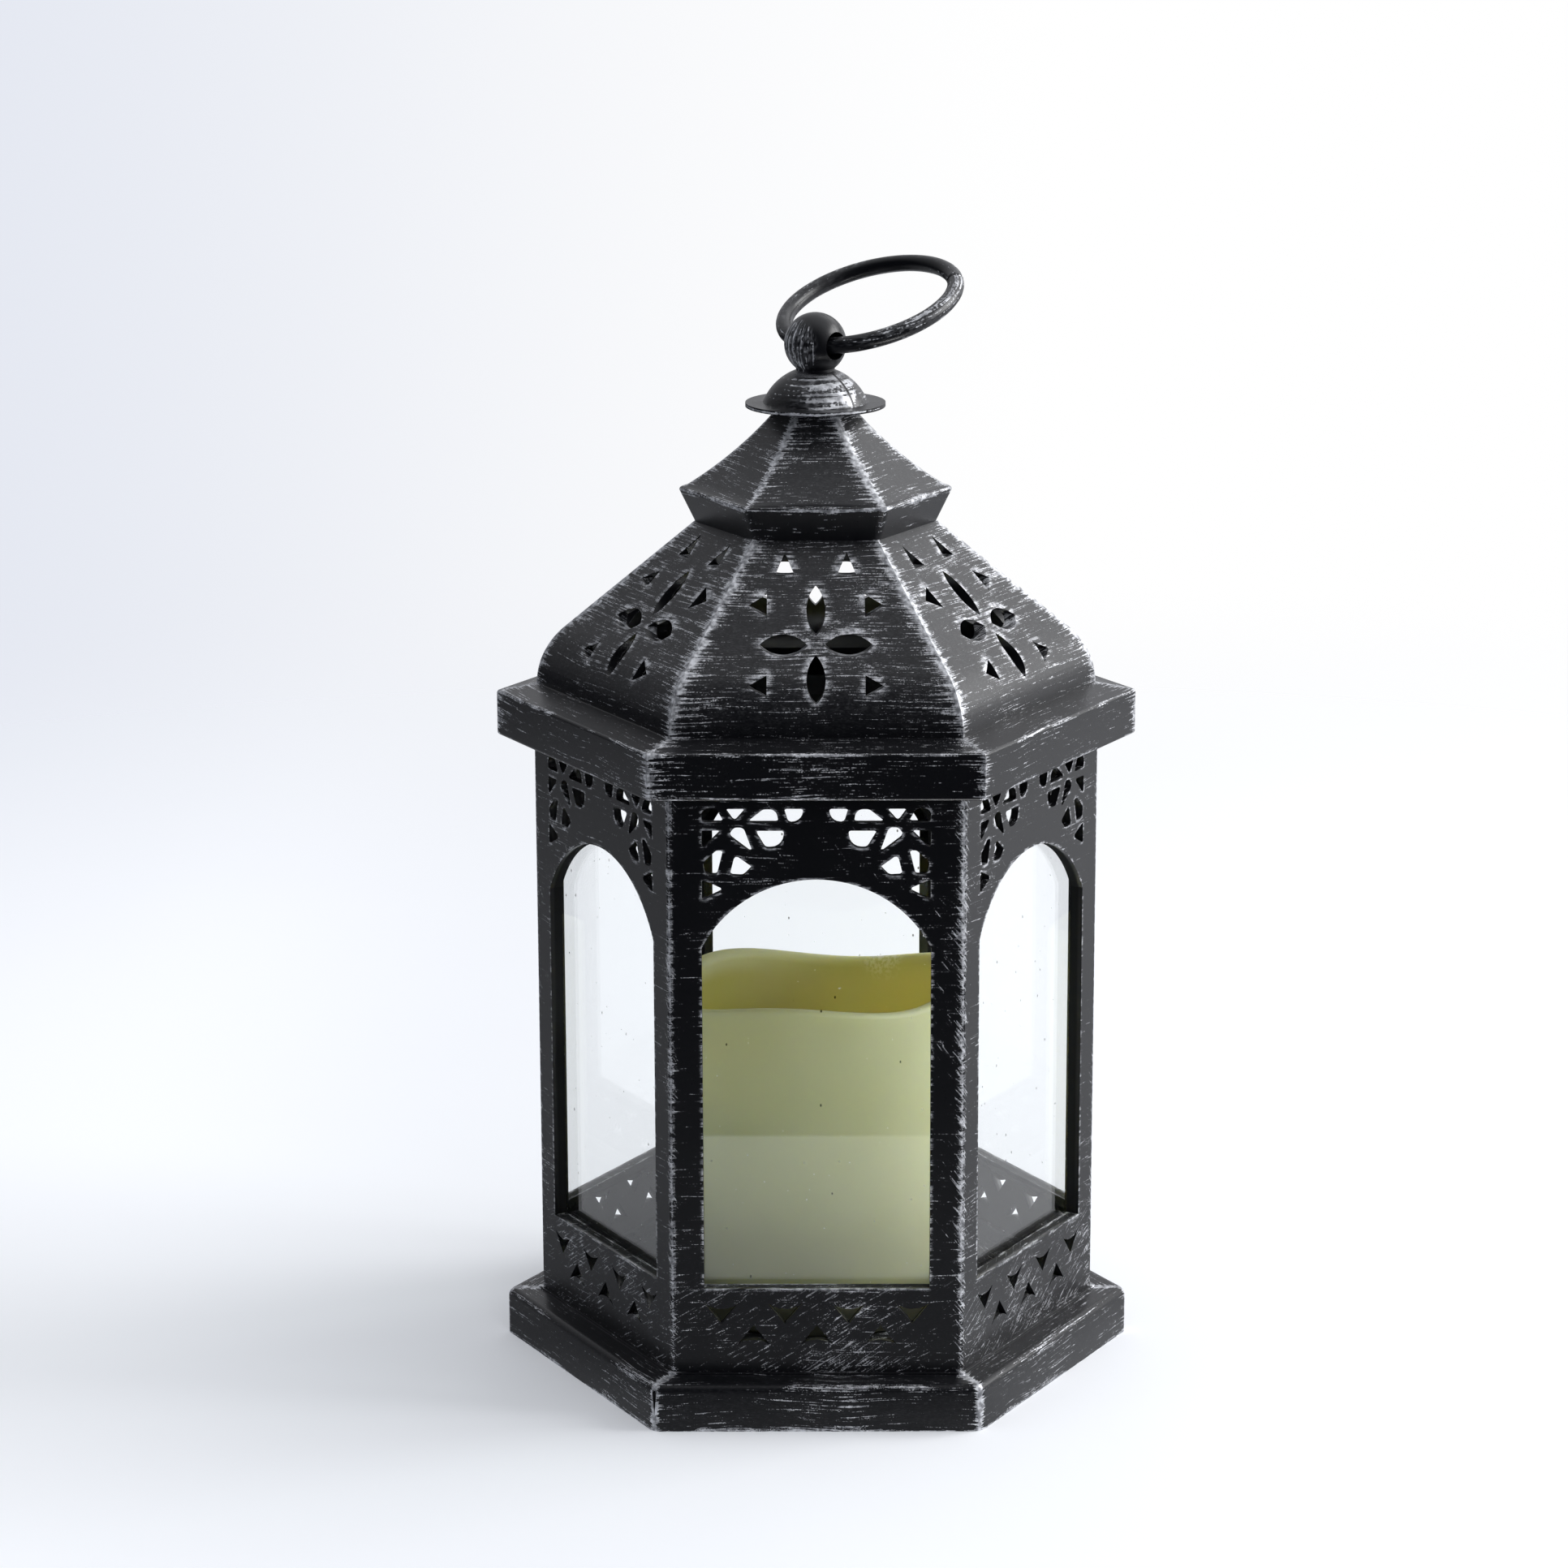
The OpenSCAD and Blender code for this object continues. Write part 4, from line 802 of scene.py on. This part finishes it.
# %% Wax
SCUFF_AT, SCUFF_TINT = (17, 29, 93), (0.85, 0.84, 0.7, 1)
# Painted shade on the candle's foot, where it is seen through the darts.
FOOT_SHADE_TO_Z, FOOT_SHADE_TINT = (17, 27), (0.15, 0.15, 0.1, 1)
IVORY_TINTS = (0.6, 0.61, 0.33, 1), (0.68, 0.68, 0.4, 1)
# Painted glow of the light that comes through the wax, from darker to lighter.
AMBER_GLOW_TINTS = (0.47, 0.45, 0.1, 1), (0.72, 0.7, 0.42, 1)
wax, t, shader = new_material("wax")
place = t.place()
x, y, height = t.split(place)
radius = t.vector("LENGTH", t.xyz(x, y, 0.0))
below_rim = t.add("ShaderNodeAttribute", attribute_name="below_rim").outputs["Fac"]
cloud = t.noise(place, 0.05, 3.0)
ivory = t.mix(cloud, *IVORY_TINTS)
# The hollow is painted lighter on the right and darker on the left, painted light that evens out how the hollow is
# lit.
amber_glow = t.mix(t.steps(t.plus(x, t.times(cloud, 10.0)), -25.0, 15.0), *AMBER_GLOW_TINTS)
inside = t.times(t.steps(radius, HOLLOW_R + 0.3, HOLLOW_R + 1.2, 1.0, 0.0), t.steps(below_rim, 0.8, 7.5))
scuffed = t.times(t.steps(t.vector("DISTANCE", place, SCUFF_AT), 3.0, 8.0, 1.0, 0.0),
                  t.steps(t.noise(place, 1.1, 3.0), 0.43, 0.56))
upper = t.mix(t.times(scuffed, 0.8), t.mix(inside, ivory, amber_glow), SCUFF_TINT)
# The foot is painted darker, as painted shade.
t.feed(shader, Base_Color=t.mix(t.steps(height, *FOOT_SHADE_TO_Z), FOOT_SHADE_TINT, upper),
       Roughness=t.steps(t.noise(place, 0.6, 2.0), 0.3, 0.7, 0.55, 0.68),
       Normal=t.bump(t.noise(place, 0.35, 3.0), 0.15, 0.4 * MM),
       Subsurface_Weight=1.0, Subsurface_Radius=(1.0, 0.85, 0.4), Subsurface_Scale=0.011)
candle_mesh.materials.append(wax)
print("wax on", candle.name)

# %% [markdown]
# ## Springs of the battery bay
# Each cell is pressed on its contact by a conical spring on a plate with a solder tab. A curve with a Screw
# modifier would also wind one, but sweeping a circle of points along a narrowing helix gives clean rings and ends.

# %% Wind the springs
SPRING_FOOT_R, SPRING_TIP_R, SPRING_L, SPRING_WIRE_R, PLATE_T = 4.25, 2.12, 5.0, 0.4, 0.4
SPRING_TURNS, COIL_STEPS, COIL_SIDES = 4, 30, 8
spring_low, spring_high = (Vector(corner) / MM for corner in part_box("battery_springs"))
bay_half, cell_z = spring_high.x, spring_low.z + SPRING_FOOT_R
pitch_half, tab_up = spring_high.y - SPRING_FOOT_R, spring_high.z - cell_z
bm = bmesh.new()
for side in (0, math.pi):
    to_bay = Matrix.Translation((0, 0, cell_z)) @ Matrix.Rotation(side, 4, "Z")
    to_bay = to_bay @ Matrix.Translation((-bay_half, -pitch_half, 0))
    plate = bmesh.ops.create_cube(bm, size=1.0)["verts"]
    for v in plate:
        up = tab_up if v.co.z > 0 else -SPRING_FOOT_R
        v.co = to_bay @ Vector(((v.co.x + 0.5) * PLATE_T, v.co.y * 2 * SPRING_FOOT_R, up))
    rings = []
    for i in range(SPRING_TURNS * COIL_STEPS + 1):
        share = i / (SPRING_TURNS * COIL_STEPS)
        a = 2 * math.pi * SPRING_TURNS * share
        r = SPRING_FOOT_R + (SPRING_TIP_R - SPRING_FOOT_R) * share - SPRING_WIRE_R
        along = PLATE_T + SPRING_WIRE_R + (SPRING_L - 2 * SPRING_WIRE_R) * share
        ring = []
        for j in range(COIL_SIDES):
            b = 2 * math.pi * j / COIL_SIDES
            off_axis, on_axis = r + SPRING_WIRE_R * math.cos(b), along + SPRING_WIRE_R * math.sin(b)
            point = Vector((on_axis, off_axis * math.cos(a), off_axis * math.sin(a)))
            ring.append(bm.verts.new(to_bay @ point))
        rings.append(ring)
    for first, after in zip(rings, rings[1:]):
        for j in range(COIL_SIDES):
            nj = (j + 1) % COIL_SIDES
            bm.faces.new((first[j], first[nj], after[nj], after[j]))
    bm.faces.new(rings[0][::-1])
    bm.faces.new(rings[-1])
bmesh.ops.scale(bm, vec=(MM, MM, MM), verts=bm.verts)
bmesh.ops.recalc_face_normals(bm, faces=bm.faces)
spring_mesh = bpy.data.meshes.new("springs_wound")
bm.to_mesh(spring_mesh)
bm.free()
spring_mesh.shade_smooth()
spring_mesh.set_sharp_from_angle(angle=math.radians(50))
stand_for(bpy.data.objects.new("springs_wound", spring_mesh), "battery_springs", "lantern")
print("springs", len(spring_mesh.vertices), "points")

# %% [markdown]
# ## Finishes of the inner pieces
# The housing, the cover, the cells, the switch and the leads keep their CAD shape. Each takes a finish by the
# slot that its record names: satin mouldings with a fine grain, zinc-plated steel with faint lines, a lacquered
# board. One group makes the grain, and each finish sets how fine it is and which way it is drawn out.

# %% Group for fine grain
fine_grain, t, gin, gout = new_group("fine grain", [
    ("Cells", FLOAT, 2.0), ("Drawn", VECTOR, (1, 1, 1)), ("Smoothest", FLOAT, 0.4)],
    [("Shade", FLOAT), ("Roughness", FLOAT), ("Height", FLOAT)])
drawn = t.vector("MULTIPLY", t.place(), gin["Drawn"])
grain = t.noise(drawn, gin["Cells"], 3.0)
cloud = t.noise(drawn, 0.12, 2.0)
t.feed(gout, Shade=t.steps(t.plus(t.times(grain, 0.4), t.times(cloud, 0.6)), 0.35, 0.65),
       Roughness=t.plus(gin["Smoothest"], t.times(grain, 0.2)), Height=grain)
print("group", fine_grain.name)

# %% Inner finishes
LEVEL_GRAIN, DRAWN_LINES = (1, 1, 1), (0.06, 1.6, 1.6)
# The dark and the light colour, grain cells for each mm, how the grain is drawn out, least roughness, metallic.
INNER_FINISHES = {
    "dark_moulding": ((0.014, 0.014, 0.016), (0.021, 0.021, 0.024), 3.0, LEVEL_GRAIN, 0.36, 0.0),
    "bare_steel": ((0.4, 0.4, 0.42), (0.64, 0.64, 0.66), 2.0, DRAWN_LINES, 0.22, 1.0),
    "battery_sleeve": ((0.4, 0.27, 0.06), (0.56, 0.4, 0.1), 1.2, DRAWN_LINES, 0.2, 0.3),
    "switch_grey": ((0.18, 0.19, 0.2), (0.27, 0.28, 0.3), 3.0, LEVEL_GRAIN, 0.34, 0.0),
    "knob_white": ((0.66, 0.66, 0.62), (0.76, 0.76, 0.73), 3.0, LEVEL_GRAIN, 0.28, 0.0),
    "board_green": ((0.015, 0.09, 0.03), (0.03, 0.15, 0.055), 0.8, LEVEL_GRAIN, 0.24, 0.0),
    "lamp_lens": ((0.86, 0.72, 0.4), (0.92, 0.82, 0.55), 0.8, LEVEL_GRAIN, 0.08, 0.0),
    "lead_red": ((0.36, 0.02, 0.018), (0.5, 0.04, 0.03), 1.6, LEVEL_GRAIN, 0.34, 0.0),
}
SLEEVE_END_X, SLEEVE_BLACKS = 11.0, ((0.01, 0.01, 0.012, 1), (0.02, 0.02, 0.022, 1))
finishes = {}
for slot, (dark, light, cells, drawn, smoothest, metallic) in INNER_FINISHES.items():
    finishes[slot], t, shader = new_material(slot)
    grain = t.group(fine_grain, Cells=cells, Drawn=drawn, Smoothest=smoothest)
    color = t.mix(grain["Shade"], (*dark, 1), (*light, 1))
    if slot == "battery_sleeve":
        x, y, _ = t.split(t.place())
        from_minus = t.times(x, t.math("SIGN", y), -1.0)
        near_plus = t.steps(from_minus, SLEEVE_END_X, SLEEVE_END_X + 0.3)
        color = t.mix(near_plus, t.mix(grain["Shade"], *SLEEVE_BLACKS), color)
    t.feed(shader, Base_Color=color, Roughness=grain["Roughness"], Metallic=metallic,
           Normal=t.bump(grain["Height"], 0.2, 0.08 * MM))
    if slot == "lamp_lens":
        t.feed(shader, Transmission_Weight=0.8)
spring_mesh.materials.append(finishes["bare_steel"])
dressed = [row for row in frame["record"]["subparts"] if row["material_slot"] in finishes]
for row in dressed:
    mesh = nodes[row["node"]].data
    mesh.materials.clear()
    mesh.materials.append(finishes[row["material_slot"]])
print(len(dressed), "inner pieces in", len(finishes), "finishes")
